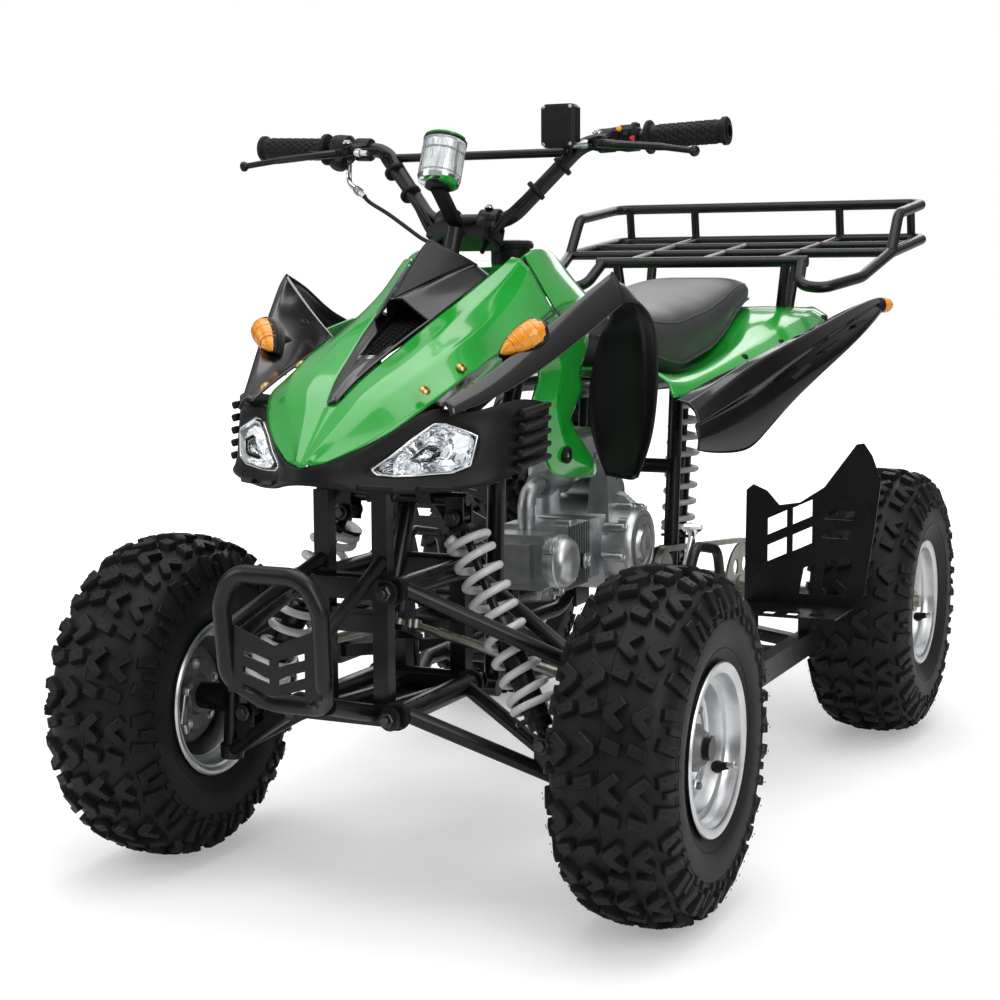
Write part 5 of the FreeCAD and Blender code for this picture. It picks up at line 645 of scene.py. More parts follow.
grille = Maker()
for i in range(-5, 6):
    for j in range(-9, 14):
        x, y = i * CELL * 1.52, (j + (0.5 if i % 2 else 0.0)) * CELL * 1.755
        back = y / MM + MESH_BACK
        if abs(x) / MM <= 13 + (back + 88) * 0.115 and MESH_FRONT <= back <= MESH_END:
            rings = [[mesh_point(x + CELL * r * math.cos(TURN * k / 6), y + CELL * r * math.sin(TURN * k / 6), out)
                      for k in range(6)] for r, out in ((0.985, 0), (0.80, 0.0012), (0.74, -0.0006), (0.74, -0.005))]
            grille.rings(rings, "plastic", caps=False)
grille.put([mesh_point(x, y, -0.0055) for x, y in pairs((-0.018, -0.050, 0.018, -0.050, 0.052, 0.165, -0.052, 0.165))],
           [tuple(range(4))], "rubber")
grille.put([F(x, 66, z) for x, z in pairs((-57, 776, 57, 776, 57, 806, 24, 832, 0, 858, -24, 832, -57, 806))],
           [tuple(range(7))], "rubber")
grille.make("insert_mesh_grille", "chassis", angle=20)

# Tank cover and filler cap

rows = []
for back, top, half, side, low, dip in ((204, 870, 92, 142, 790, 18), (240, 884, 95, 146, 800, 32),
                                        (300, 878, 92, 152, 800, 10), (380, 846, 84, 148, 780, -4),
                                        (470, 806, 76, 138, 756, -4)):
    rows.append(row_pair([F(half * 0.75, back, top - dip), F(half, back, top),
                          F(half + 16, back, (top + low) / 2 + 14), F(side, back, low)], F(0, back, top - dip)))
sheet("tank_cover_shell", rows, "green", ("tank_cover",), level=3,
      crease_columns=((1, 0.5), (2, 0.7), (6, 0.7), (7, 0.5)))
cap, cap_at = Maker(), F(36, 278, 852)
cap.lathe(cap_at, Z_AXIS, (0, 29, 26, 29, 27, 32.5, 34, 33.5, 38, 31.5, 39.5, 26, 40, 12, 38.5, 10),
          "plastic", 36)
for out in around(Z_AXIS, 18, math.pi):
    at = cap_at + P(0, 0, 28) + out * 0.0322
    cap.box(at, at + P(0, 0, 7), 4, 3, "plastic", up=out)
cap.make("tank_cap_ribbed", "chassis", ("tank_cap",), "black_plastic")

# Lamp mask: a smooth shell round the two lamp openings

MASK_TOP = ((0, -268, 605), (40, -252, 612), (72, -214, 634), (100, -176, 661), (128, -142, 680), (176, -124, 664),
            (214, -80, 690))
MASK_LOW = ((0, -272, 586), (42, -254, 580), (72, -222, 574), (112, -190, 571), (150, -160, 573), (190, -128, 578),
            (212, -98, 588))
MASK_END = ((207, 18, 602), (210, 20, 672))
LENS_TOP = ((66, -207, 600), (84, -192, 615), (104, -171, 636), (126, -150, 655), (140, -142, 656), (176, -126, 640))
LENS_LOW = ((72, -205, 594), (92, -192, 592), (114, -175, 592), (136, -160, 594), (152, -150, 595), (170, -136, 603))


def mask():
    points = [F(*p) for p in MASK_TOP + MASK_LOW + LENS_TOP + LENS_LOW + MASK_END]
    n, m, total = len(MASK_TOP), len(LENS_TOP), len(points)
    top, low, lens_top, lens_low = range(n), range(n, 2 * n), range(2 * n, 2 * n + m), range(2 * n + m, total)
    cells = [(top[0], low[0], low[1], top[1]), (top[1], low[1], lens_low[0], lens_top[0])]
    for k in range(m - 1):
        cells += [(top[k + 1], lens_top[k], lens_top[k + 1], top[k + 2]),
                  (lens_low[k], low[k + 1], low[k + 2], lens_low[k + 1])]
    cells += [(top[m], lens_top[m - 1], lens_low[m - 1], low[m]), (top[m], low[m], total - 2, total - 1)]
    middle = (top[0], low[0])
    cells += [tuple(k if k in middle else k + total for k in reversed(cell)) for cell in cells]
    verts, faces, _ = compact(points + [mirror(p) for p in points], cells)
    maker = Maker()
    maker.put(verts, faces, "plastic")
    maker.make("lamp_mask_shell", "chassis", ("lamp_mask",), "black_plastic", level=2, creases=outline(faces),
               thickness=MASK_WALL, angle=0)


mask()
ribs = Maker()
for side in (1, -1):
    for k in range(5):
        start, end = spots(side, (214 + k * 0.5, -88 + k * 2, 598 + k * 17, 213, 14, 604 + k * 17))
        ribs.box(start, end, 10, 10, "plastic", up=(side * 0.3, 0, 1), round_by=2, shrink=0.7)
    for k in range(2):
        start, end = spots(side, (60 + k * 60, -232 + k * 46, 581 - k * 4, 95 + k * 60, -203 + k * 46, 577 - k * 2))
        ribs.box(start, end, 6, 8, "plastic", round_by=2)
ribs.make("mask_side_ribs", "chassis")


# Headlamps

def headlamp(side, place):
    """Faceted bowl with two lamps, a bright rim and a clear cover."""
    loop = [F(side * x, b, z) for x, b, z in LENS_TOP + LENS_LOW[::-1]]
    centre = sum(loop, Vector()) / len(loop)
    outwards = (loop[3] - loop[0]).cross(loop[-3] - loop[0]).normalized()
    if outwards.y > 0:
        outwards = -outwards
    fine = [a.lerp(b, t / 4) for a, b in zip(loop, loop[1:] + loop[:1]) for t in range(4)]

    def inset(scale, out, ripple=0.0):
        """The opening's outline drawn in to its middle, moved outwards and facetted."""
        return [centre + (p - centre) * scale + outwards * (out - ripple * (1 if k // 2 % 2 else -1))
                for k, p in enumerate(fine)]

    def shell(maker, rings, look):
        maker.rings(rings, look, caps=False)
        maker.put(rings[-1], [tuple(range(len(fine)))], look)

    bowl = Maker()
    shell(bowl, [inset(scale, -depth, ripple)[::-side] for scale, depth, ripple in
                 ((0.99, 0.001, 0), (0.93, 0.007, 0.0018), (0.78, 0.013, 0.0018), (0.60, 0.018, 0.0018),
                  (0.42, 0.022, 0.0018), (0.22, 0.024, 0))], "chrome")
    along = (loop[4] - loop[0]).normalized()
    for shift in (-0.022, 0.022):
        at = centre + along * shift - outwards * 0.020
        bowl.lathe(at, outwards, (0, 15.5, 4, 17, 11, 18.5, 11.5, 17.5, 6, 12, 3, 6), "chrome", 28)
        bowl.lathe(at, outwards, (3, 4.5, 10, 4.5, 13, 2), "lens", 16)
    bowl.make("headlamp_%s_reflector" % place, "chassis", angle=12)
    rim_line = Maker()
    line = inset(0.985, 0.0005)
    rim_line.follow(line + line[:2], 1.9, "chrome", 8, caps=False)
    rim_line.make("headlamp_%s_rim" % place, "chassis", angle=0)
    cover = Maker()
    shell(cover, [inset(scale, rise)[::side] for scale, rise in ((0.975, 0.0), (0.8, 0.0035), (0.5, 0.0065),
                                                                (0.2, 0.0078))], "lens")
    cover.make("headlamp_%s_cover" % place, "chassis", ("headlamps",) if side > 0 else (), angle=0,
               thickness=LENS_WALL)


for side, place in SIDES:
    headlamp(side, place)

# Front fenders with their flaps

FLARE = (
    (-158, 134, 684, 143, 684, 156, 668, -158), (-98, 135, 706, 170, 710, 186, 684, -98),
    (-30, 137, 726, 199, 752, 216, 714, -30), (50, 140, 748, 230, 800, 248, 758, 50),
    (128, 141, 753, 257, 845, 276, 804, 66))
FLAP = (
    (257, 128, 845, 268, 126, 826, 276, 124, 804), (240, 164, 824, 264, 160, 832, 282, 160, 806),
    (228, 206, 786, 262, 206, 800, 286, 202, 786), (192, 246, 764, 256, 246, 770, 287, 222, 752),
    (174, 264, 716, 254, 268, 706, 284, 236, 700), (163, 268, 668, 252, 271, 650, 278, 242, 646),
    (168, 269, 606, 248, 271, 598, 268, 248, 600), (192, 268, 552, 232, 268, 546, 246, 256, 552))
for side, place in SIDES:
    rows = []
    for back, ix, iz, cx, cz, wx, wz, inner_back in FLARE:
        rows.append(spots(side, (ix, inner_back, iz, (ix + cx) / 2, (inner_back + back) / 2, (iz + cz) / 2 - 5,
                                cx, back, cz, (cx + wx) / 2 + 3, back - 2, (cz + wz) / 2 + 3, wx, back - 4, wz)))
    sheet("front_fender_%s_shell" % place, rows, "gloss_black", ("front_fender_" + place,), level=3,
          crease_columns=((2, 0.85),), flip=side < 0)
    sheet("front_flap_" + place, [spots(side, row) for row in FLAP], "satin", level=3, flip=side < 0,
          crease_columns=((1, 0.4),))
    bolts = Maker()
    for at in spots(side, (158, 30, 747, 186, 60, 775, 150, -60, 711)):
        bolts.button(at, (-side * 0.5, -0.2, 0.85), 6.5, "plastic")
    for at in spots(side, (122, -62, 722, 118, -158, 698)):
        bolts.button(at, (side * 0.55, -0.3, 0.75), 7.5)
    bolts.make("panel_bolts_" + place, "chassis")

# Side shrouds: green S-shaped plates with folded faces; back and z of the edge, then of the ridge

SHROUD = (22, 748, 6, 736, 66, 712, 30, 668, 62, 614, 100, 566, 258, 551, 262, 568, 156, 640, 212, 678, 196, 704,
          236, 752, 206, 782, 116, 766)
SHROUD_RIDGE = (96, 742, 120, 716, 92, 668, 112, 622, 150, 590, 222, 568)
SHROUD_FACES = ((0, 1, 14), (1, 2, 14), (2, 15, 14), (2, 3, 16, 15), (3, 4, 17, 16), (4, 5, 18, 17), (5, 6, 19, 18),
                (6, 7, 19), (7, 8, 18, 19), (8, 17, 18), (8, 9, 16, 17), (9, 10, 15, 16), (10, 11, 15), (11, 14, 15),
                (11, 12, 14), (12, 13, 14), (13, 0, 14))
for side, place in SIDES:
    maker = Maker()
    faces = [face[::-side] for face in SHROUD_FACES]
    maker.put([F(side * 176, b, z) for b, z in pairs(SHROUD)] + [F(side * 186, b, z) for b, z in pairs(SHROUD_RIDGE)],
              faces, "green")
    creases = outline(faces, 0.35)
    first = len(SHROUD) // 2
    for k in range(first, first + len(SHROUD_RIDGE) // 2 - 1):
        creases[(k, k + 1)] = 0.7
    maker.make("side_shroud_%s_shell" % place, "chassis", ("side_shrouds",) if side > 0 else (), "green_plastic",
               level=3, creases=creases, thickness=WALL, angle=0)
    grommet = Maker()
    grommet.lathe(F(side * 188.5, 128, 594), (side, 0, 0), (-3, 11.5, 1, 12.5, 4.5, 11, 4.5, 6, 1, 5.5, 1, 1),
                  "rubber", 24)
    grommet.button(F(side * 189.5, 128, 594), (side, 0, 0), 5, "zinc")
    grommet.make("shroud_grommet_" + place, "chassis")

# Seat: crowned cover over foam; back, half width, and z of its top and lower edge

SEAT = ((-590, 74, 806, 742), (-480, 96, 792, 706), (-350, 114, 790, 674), (-270, 121, 800, 684),
        (-200, 124, 808, 698), (-120, 124, 820, 728), (-60, 120, 830, 756), (20, 112, 836, 782),
        (80, 104, 834, 790), (140, 88, 822, 788))
SECTIONS, SEAT_ROUND, END_SECTIONS = 46, 44, 7


def blend_rows(rows, t):
    """Spline through rows of numbers, t from 0 to 1."""
    span = t * (len(rows) - 1)
    i = min(int(span), len(rows) - 2)
    return [spline(*column, span - i) for column in zip(*[rows[0], *rows, rows[-1]][i:i + 4])]


def seat():
    """Cushion by sections, with a welt along its lower edge and a seam along each shoulder."""
    rings = []
    for i in range(SECTIONS + 1):
        t = i / SECTIONS
        back, half, top, low = blend_rows(SEAT, t)
        bow = math.sqrt(1 - max(0.0, 1 - min(t, 1 - t) * SECTIONS / END_SECTIONS) ** 2)
        half = half * (0.40 + 0.60 * bow) - 2.0
        height = top - (1 - bow) * 24 - 1.0 - low
        ring = []
        for k in range(SEAT_ROUND):
            cx, cz = math.cos(TURN * k / SEAT_ROUND), math.sin(TURN * k / SEAT_ROUND)
            crowned = cz > 0
            x = half * math.copysign(abs(cx) ** (0.50 if crowned else 0.25), cx)
            z = math.copysign(abs(cz) ** (0.80 if crowned else 0.4), cz) * (0.70 if crowned else 0.30)
            if cz < 0.3:
                x *= 1 - 0.05 * min(1.0, 0.3 - cz)
            # gentle unevenness of the cover
            sag = abs(noise.noise(Vector((x * 0.012, back * 0.010, 3.1)))) * 1.32 if crowned else 0.0
            ring.append(R(x, back, low + height * (0.30 + z) - sag))
        rings.append(ring)
    maker = Maker()
    maker.rings([ring[::-1] for ring in rings], "seat")
    for side, edge, shoulder in ((1, SEAT_ROUND - 1, 4), (-1, SEAT_ROUND // 2 + 1, SEAT_ROUND // 2 - 4)):
        maker.follow([ring[edge] + P(side * 0.8, 0, -3) for ring in rings[1:-1]], 2.4, "seat", 8)
        maker.follow([ring[shoulder] + P(side * 0.2, 0, 0.2) for ring in rings[1:-1]], 1.2, "seat", 6)
    piece = maker.make("seat_cushion", "chassis", ("seat",), "seat_cover", angle=0)


seat()

# Rear fender and its two black wings

FENDER = (
    (-480, 98, 694, 124, 676, 150, 640, 690), (-420, 106, 676, 134, 668, 164, 636, 676),
    (-350, 113, 664, 146, 676, 178, 658, 664), (-270, 116, 678, 154, 694, 196, 678, 674),
    (-200, 117, 694, 160, 712, 214, 698, 690), (-120, 115, 728, 164, 736, 228, 712, 716),
    (-60, 112, 754, 168, 756, 240, 722, 734), (20, 106, 778, 176, 772, 246, 736, 752),
    (80, 100, 784, 182, 778, 250, 746, 758), (140, 92, 778, 182, 778, 244, 762, 764),
    (230, 80, 762, 160, 774, 196, 768, 763))
WING = (
    (-470, 152.2, 636.4, 184, 616, 190, 552), (-440, 160, 644, 193, 630, 196, 545),
    (-330, 190, 676, 226, 680, 226, 536), (-290, 200, 684, 242, 696, 240, 556), (-220, 218, 700, 272, 722, 276, 622),
    (-110, 238, 718, 318, 760, 336, 698), (-20, 252, 734, 344, 788, 360, 742), (60, 262, 750, 356, 796, 364, 772))
rows = []
for back, ix, iz, rx, rz, ex, ez, mid in FENDER:
    rows.append(row_pair([R(ix * 0.55, back, (iz + mid) / 2 - 3), R(ix, back, iz), R(rx, back, rz),
                          R((rx + ex) / 2 + 5, back, (rz + ez) / 2 + 6), R(ex, back, ez)], R(0, back, mid - 3)))
sheet("rear_fender_shell", rows, "green", ("rear_fender",),
      crease_columns=((1, 0.6), (2, 0.75), (8, 0.75), (9, 0.6)))
for side, place in SIDES:
    rows = []
    for back, ix, iz, ox, oz, lx, lz in WING:
        inner, outer, low = spots(side, (ix, back, iz, ox, back, oz, lx, back, lz), R)
        rows.append([inner - P(side * 2.8, 0, 0), inner.lerp(outer, 0.60) + P(0, 0, 6), outer + P(0, 0, 1),
                     outer.lerp(low, 0.28) + P(side * 6, 0, 0), outer.lerp(low, 0.34) - P(0, 0, 2),
                     outer.lerp(low, 0.70) + P(side * 5, 0, 0), low])
    sheet("rear_wing_" + place, rows, "gloss_black", ("rear_wings",) if side > 0 else (), level=3, flip=side < 0,
          crease_columns=((1, 0.6), (2, 0.9), (3, 0.8), (4, 0.8)))
    trim = Maker()
    for at in spots(side, (214, -300, 700, 246, -190, 722, 286, -60, 762, 172, -420, 642), R):
        trim.button(at, (side * 0.6, -0.2, 0.75), 6.5, "plastic")
    for k in range(3):
        start, end = spots(side, (284 + k * 30, -250 + k * 90, 660 + k * 44,
                                 300 + k * 30, -208 + k * 90, 684 + k * 38), R)
        trim.box(start, end, 3, 11, "rubber", up=(side, 0, 0.2))
    trim.make("rear_wing_trim_" + place, "chassis")

# Turn signals: amber teardrops in front, short round ones behind

LEAF = (0, 1, 4, 5.2, 12, 9.8, 22, 14, 34, 17.2, 46, 18.6, 55, 18, 62, 15.2, 67, 10.4, 69.5, 5.2, 70.2, 1)
signals = Maker()
for side in (1, -1):
    start, axis = F(side * 172, -50, 740), Vector((side * 0.62, 0.60, 0.50)).normalized()
    signals.lathe(start, axis, LEAF, "amber", 36)
    for k in range(6):
        a, r = 18 + 7 * k, 14 + 4.6 * min(1.0, k / 3)
        signals.lathe(start, axis, (a, r - 0.4, a + 1, r + 0.12, a + 2, r - 0.4), "amber", 36, caps=False)
    away = Vector((side * -0.34, 0.88, -0.32)).normalized()
    for grow, depth in ((1.10, 0.0045), (1.06, 0.010)):
        shell = [v for a, r in pairs(LEAF) for v in (a * 1.08, r * grow)]
        signals.lathe(start + away * depth - axis * 0.003, axis, shell, "plastic", 32)
    signals.lathe(start + axis * 0.040 + away * 0.008, away, (0, 14, 12, 12, 18, 10, 30, 10), "rubber", 20)
    at, axis = R(side * 354, 59, 782), (side * 0.62, 0.78, 0)
    signals.lathe(at, axis, (-4, 11, 1, 13.4, 8, 14.2, 10, 13.8), "plastic", 32)
    signals.lathe(at, axis, (9, 13.6, 18, 13.8, 25, 12, 30, 8, 31.6, 3.4, 32, 0.6), "amber", 32)
signals.make("turn_signal_lamps", "chassis", ("turn_signals",), "amber")

tail = Maker()
tail.box(R(-60, 243, 759), R(60, 243, 759), 24, 32, "red", round_by=5)
tail.box(R(-58, 234, 759), R(58, 234, 759), 8, 34, "plastic", round_by=2)
for x in range(-48, 49, 12):
    tail.box(R(x, 252.6, 746), R(x, 252.6, 772), 6, 2.8, "red", up=Y_AXIS)
tail.make("tail_lamp_lens", "chassis", ("tail_lamp",), "red_lens")

# Handlebar, grips and controls

BAR_Y = FRONT + 0.259


def B(x, y, z):
    """Point in millimetres, y counted from the grips' middle line."""
    return Vector((x * MM, BAR_Y + y * MM, z * MM))


LOW_Y, LOW_Z, BEND_Z, BRACE_Z = -444.7, 917.5, 1027, 1014
BAR_LOW, BAR_BEND, BAR_END = P(62, LOW_Y, LOW_Z), B(160, 0, BEND_Z), B(376.2, 0, 1036)
BAR = [mirror(BAR_END), mirror(BAR_BEND), mirror(BAR_LOW), BAR_LOW, BAR_BEND, BAR_END]
SLOPE = (BAR_END - BAR_BEND).normalized()
BRACE_END = BAR_LOW.lerp(BAR_BEND, (BRACE_Z - LOW_Z) / (BEND_Z - LOW_Z))
DIAMOND_ROWS, DIAMONDS = 13, 12
STEM_AXIS, STEM_FRONT = Vector((0, 0.37446, 0.92724)), Vector((0, -0.92724, 0.37446))


def outwards_along_bar(side):
    return Vector((side * SLOPE.x, 0, SLOPE.z))


def grips():
    """Rubber sleeves with rows of small diamonds."""
    maker = Maker()
    for side in (1, -1):
        axis = outwards_along_bar(side)
        start = B(side * 257, 0, 1036 - 119 * SLOPE.z)
        maker.lathe(start, axis, (0, 11.5, 0, 22, 1.5, 23.5, 5.5, 23.5, 7, 21, 8, 16.8, 16, 15.8, 100, 15.8, 109, 16.5,
                                  111, 19.5, 116.5, 19.5, 118, 18, 118, 11.5), "rubber", 40, caps=False)
        for i in range(DIAMOND_ROWS):
            for out in around(axis, DIAMONDS, math.pi / DIAMONDS * (i % 2)):
                across = axis.cross(out) * 0.0036
                along = axis * 0.0046
                at = start + axis * (0.0195 + i * 0.0066) + out * 0.0156
                ring = [at + along, at + across, at - along, at - across]
                maker.rings([ring, [at + out * 0.0012 + (p - at) * 0.6 for p in ring]], "rubber")
    maker.make("grip_sleeves", "steering", ("grips",), "rubber", angle=30)


def hand_controls():
    """Switch block on the left, throttle block on the right, and on both sides a lever with its cable adjuster."""
    maker = Maker()
    for side in (1, -1):
        def S(x, y, z):
            return B(side * x, y, z)

        slope = outwards_along_bar(side)
        if side > 0:
            maker.box(S(214, 0, 1030), S(247, 0, 1031.5), 38, 36, "plastic", round_by=7)
            maker.box(S(212.5, 0, 1030), S(214.5, 0, 1030), 34, 32, "rubber", round_by=6)
            for k, look in enumerate(("amber", "rubber", "red")):
                maker.lathe(S(221 + k * 10, -17, 1042 - k * 7), (0, -1, 0.4), (0, 4, 4, 4, 5.2, 3), look, 14)
            maker.box(S(232, 2, 1047), S(243, 2, 1048), 16, 10, "plastic", round_by=3)
        else:
            maker.lathe(S(216, -4, 1029.5), slope, (0, 17, 2, 21, 20, 22, 27, 21, 28, 16), "plastic", 28)
            maker.lathe(S(228, -20, 1012), (0, -0.6, -0.8), (0, 13, 10, 13, 13, 8), "plastic", 20)
            maker.box(S(226, -30, 1020), S(272, -34, 1026), 10, 5, "plastic", round_by=2)
        # lever perch and its clamp
        maker.lathe(S(184, 0, 1028.3), slope, (0, 16.5, 2, 17.2, 22, 17.2, 24, 16.5), "plastic", 24)
        maker.box(S(194.5, -10, 1030), S(200, -44, 1024), 24, 18, "plastic", round_by=4, shrink=0.86)
        maker.box(S(200, -34, 1024), S(214, -58, 1022), 18, 10, "plastic", round_by=3)
        maker.bolt(S(200, -46, 1036), Z_AXIS, 5.5, "zinc", 4)
        for z in (1041, 1019):
            maker.bolt(S(196, 14.5, z), Y_AXIS, 4.5, "zinc", 4)
        path = rounded([S(200, -46, 1022), S(236, -66, 1018), S(306, -72, 1012), S(352, -83, 1005)], 0.05, 8)
        maker.follow(path, 6.2, "satin", 12, taper=0.28)
        maker.follow([p + P(0, -3.5, 0.5) for p in path], 3.8, "satin", 10, taper=0.3)
        maker.lathe(S(350, -82.5, 1005.2), (side * 0.85, -0.4, -0.15),
                    (0, 4.5, 2.5, 6.8, 6, 7.8, 9.5, 6.8, 11.5, 4, 12, 1), "satin", 20)
        maker.lathe(S(186, -46, 1022), (-side, -0.12, -0.10), (0, 5.2, 4, 6.2, 10, 6.2, 11, 4.2, 22, 3.8), "zinc", 12)
    maker.make("hand_control_set", "steering", ("hand_controls",), "black_plastic")


def bar_and_clamp():
    """Tube with open ends and a brace, and the two clamps on the stem."""
    maker = Maker()
    maker.follow(rounded(BAR, 0.05), 11, "black_steel", 24, caps=False)
    for end, side in ((BAR_END, 1), (mirror(BAR_END), -1)):
        inward = -outwards_along_bar(side)
        maker.lathe(end, inward, (0, 11, -0.6, 8.5, 38, 8.5), "black_steel", 24, caps=False)
        maker.lathe(end + inward * 0.0385, inward, (0, 8.6, 1, 8.6), "black_steel", 24)
    maker.follow([mirror(BRACE_END), BRACE_END], 6.5, "black_steel", 18)
    maker.make("handlebar_tube", "steering", ("handlebar",), "black_steel", angle=40)
    clamp = Maker()
    for x in (-34, 34):
        at = P(x, LOW_Y, LOW_Z)
        clamp.lathe(at - P(15, 0, 0), X_AXIS, (0, 16.5, 2, 17.8, 28, 17.8, 30, 16.5), "satin", 28)
        clamp.box(at - STEM_AXIS * 0.020, at - STEM_AXIS * 0.004, 30, 36, "satin", up=STEM_FRONT, round_by=4)
        for f in (0.0135, -0.0135):
            clamp.bolt(at + STEM_FRONT * f + STEM_AXIS * 0.014, STEM_AXIS, 4.8, "zinc", 5)
    clamp.make("handlebar_clamps", "steering")


def gauge():
    """Clear round case over a chromed core, with green arcs."""
    maker = Maker()
    base = F(0, 115, 965)

    def turned(profile, look, sides, shift=(0, 0), **options):
        maker.lathe(base + STEM_AXIS * shift[0] + STEM_FRONT * shift[1], STEM_AXIS, profile, look, sides, **options)

    turned((0, 18, 1, 26, 3, 29, 10, 30.2, 10.5, 29), "chrome", 44)
    turned((0, 10, 0, 26, 4, 29.6, 6, 29.6), "green", 44, (-0.001, 0.004), phase=2.2, sweep=0.46)
    turned((10, 30.6, 64, 30.6, 66, 30), "clear", 48, caps=False)
    turned((64, 30, 64.5, 31, 67.5, 31, 68.5, 29.6, 68.5, 24), "satin", 48, caps=False)
    turned((0, 30, 2.5, 30, 3.2, 28), "green", 40, (0.0684, 0), phase=0.6, sweep=0.42)
    turned((68.4, 29, 69, 10), "clear", 44)
    turned((10.4, 24, 30, 23.6, 31, 22, 62, 21.6, 63, 10), "chrome", 40)
    for out in around(STEM_AXIS, 14):
        maker.box(base + out * 0.0238 + STEM_AXIS * 0.012, base + out * 0.0224 + STEM_AXIS * 0.060, 4, 1.6, "zinc",
                  up=out)
    for h in (15, 48):
        turned((h, 24.6, h + 1, 25.6, h + 2, 24.6), "zinc", 40, caps=False)
    maker.make("gauge_case", "steering", ("gauge",), "clear_plastic", angle=30)


def control_box():
    maker = Maker()
    maker.box(F(144, 213, 1017.5), F(144, 213, 1077.5), 51.5, 29.5, "plastic", up=Y_AXIS, round_by=5)
    maker.box(F(144, 197.5, 1024), F(144, 197.5, 1071), 40, 2.2, "rubber", up=Y_AXIS)
    maker.lathe(F(146, 222, 1026), Y_AXIS, (0, 9, 26, 9, 27, 8), "plastic", 24)
    for x in (124, 164):
        for z in (1022, 1073):
            maker.button(F(x, 198.5, z), -Y_AXIS, 2.4, "zinc")
    maker.make("control_box_case", "steering", ("control_box",), "black_plastic")


grips()
hand_controls()
bar_and_clamp()
gauge()
control_box()

# Cables clipped along the handlebar's rising parts, and the throttle cable

bar_cables = Maker()
for side in (1, -1):
    high, low = B(side * 158, -1, 1018), P(side * 68, -444, 928)
    for k, (dx, dy, dz, r) in enumerate(((4, -16, 4, 3.2), (-6, -15, -3, 2.8), (12, -11, 8, 2.6))):
        start = B(side * (186 + 6 * k), -46 + 12 * k, 1022 - 4 * k)
        points = [start, start + P(-side * 16, 4, 3), B(side * (150 + dx), -30 + 6 * k, 1022 + dz * 0.4)]
        points += [high.lerp(low, 0.16 + 0.78 * n / 4) + P(side * dx, dy, dz) for n in range(5)]
        points += [P(side * (50 + dx * 0.5), -464 - 3 * k, 904), P(side * 30, -470, 872)]
        bar_cables.follow(smooth_path(points), r, "rubber", 10)
    for t in (0.30, 0.68):
        along = Vector((-side * 0.090, -0.043, -0.090)).normalized()
        at = B(side * 158, 0, 1018).lerp(low, t) - along * 0.005 + P(side * 3, -6, 2)
        bar_cables.lathe(at, along, (0, 15, 1, 16, 6, 16, 7, 15), "rubber", 24)
bar_cables.make("handlebar_cables", "steering", angle=0)

bent = Maker()
elbow = [B(-214, -16, 1012), B(-212, -20, 992), B(-206, -26, 978), B(-194, -32, 970)]
away = Vector((0.78, -0.36, -0.50))
bent.follow(smooth_path(elbow), 4.4, "chrome", 12)
bent.lathe(elbow[-1], away, (0, 5.2, 3, 6.6, 12, 6.6, 13, 4.8, 26, 4), "zinc", 14)
bent.follow(smooth_path([elbow[-1] + away * 0.022, B(-160, -50, 948), B(-122, -64, 930), B(-86, -76, 910),
                         B(-56, -84, 893), B(-30, -90, 884)]), 3, "rubber", 12)
bent.make("throttle_cable", "steering", angle=30)

# Brake backing plates on the knuckles, with arm, cable clamp and bolts

for side, place in SIDES:
    maker = Maker()
    centre, inward = Vector((side * 0.36, FRONT, FRONT_R)), Vector((-side, 0, 0))
    maker.lathe(centre, inward, (0, 70, 3, 71.2, 7, 70, 11, 64, 12, 56, 16.5, 52, 18, 44, 18, 30, 24, 26, 26, 20),
                "cast", 56)
    for out in round_x(5, 0.4):
        maker.bolt(centre + inward * 0.0165 + out * 0.046, inward, 5.5, "zinc", 5)
    for out in round_x(3, 2.2):
        maker.box(centre + inward * 0.012 + out * 0.020, centre + inward * 0.010 + out * 0.062, 9, 10, "cast",
                  up=inward, round_by=2)
    pivot = centre + inward * 0.020 + P(0, -44, 14)
    arm = pivot + inward * 0.0085
    maker.lathe(pivot, inward, (0, 9, 9, 9, 10, 7.5), "cast", 20)
    maker.box(arm, arm + P(0, -12, -46), 12, 5, "zinc", up=inward, round_by=1.5)
    maker.bolt(pivot + inward * 0.010, inward, 5.8, "zinc", 5)
    maker.lathe(pivot + inward * 0.011 + P(0, -12, -44), (0, 0.3, -1), (0, 6.2, 14, 6.2, 15, 5), "zinc", 16)
    maker.make("brake_plate_" + place, place + "_knuckle", angle=28)

# Nuts, washers and bushes at the arms' pivots and the shock absorbers' bolts

pivots = Maker()
for side in (1, -1):
    for x, z in ((72, 277), (70, 441)):
        for back, out in ((-176, -1), (81, 1)):
            at, axis = F(side * x, back, z), Y_AXIS * out
            pivots.lathe(at, axis, (0, 15.625, 2.2, 15.625, 2.8, 14), "satin", 24)
            pivots.lathe(at, axis, (2.6, 10.75, 10.5, 10.75, 11.8, 9.25), "cast_dark", 6)
            pivots.lathe(at, axis, (11, 6, 16.5, 6, 17.5, 5), "cast_dark", 14)
        for back in (-162, 57):
            pivots.lathe(F(side * x, back, z), Y_AXIS, (0, 16.5, 1, 18.8, 8, 18.8, 9, 16.5), "rubber", 24)
for at in (SHOCK_TOP, SHOCK_LOW, mirror(SHOCK_TOP), mirror(SHOCK_LOW)):
    for out in (1, -1):
        pivots.bolt(at + P(0, out * 21.5, 0), Y_AXIS * out, 8.5, "cast_dark", 7)
pivots.make("arm_pivot_fasteners", "chassis", angle=30)

# Engine: smooth covers, fins and bolts

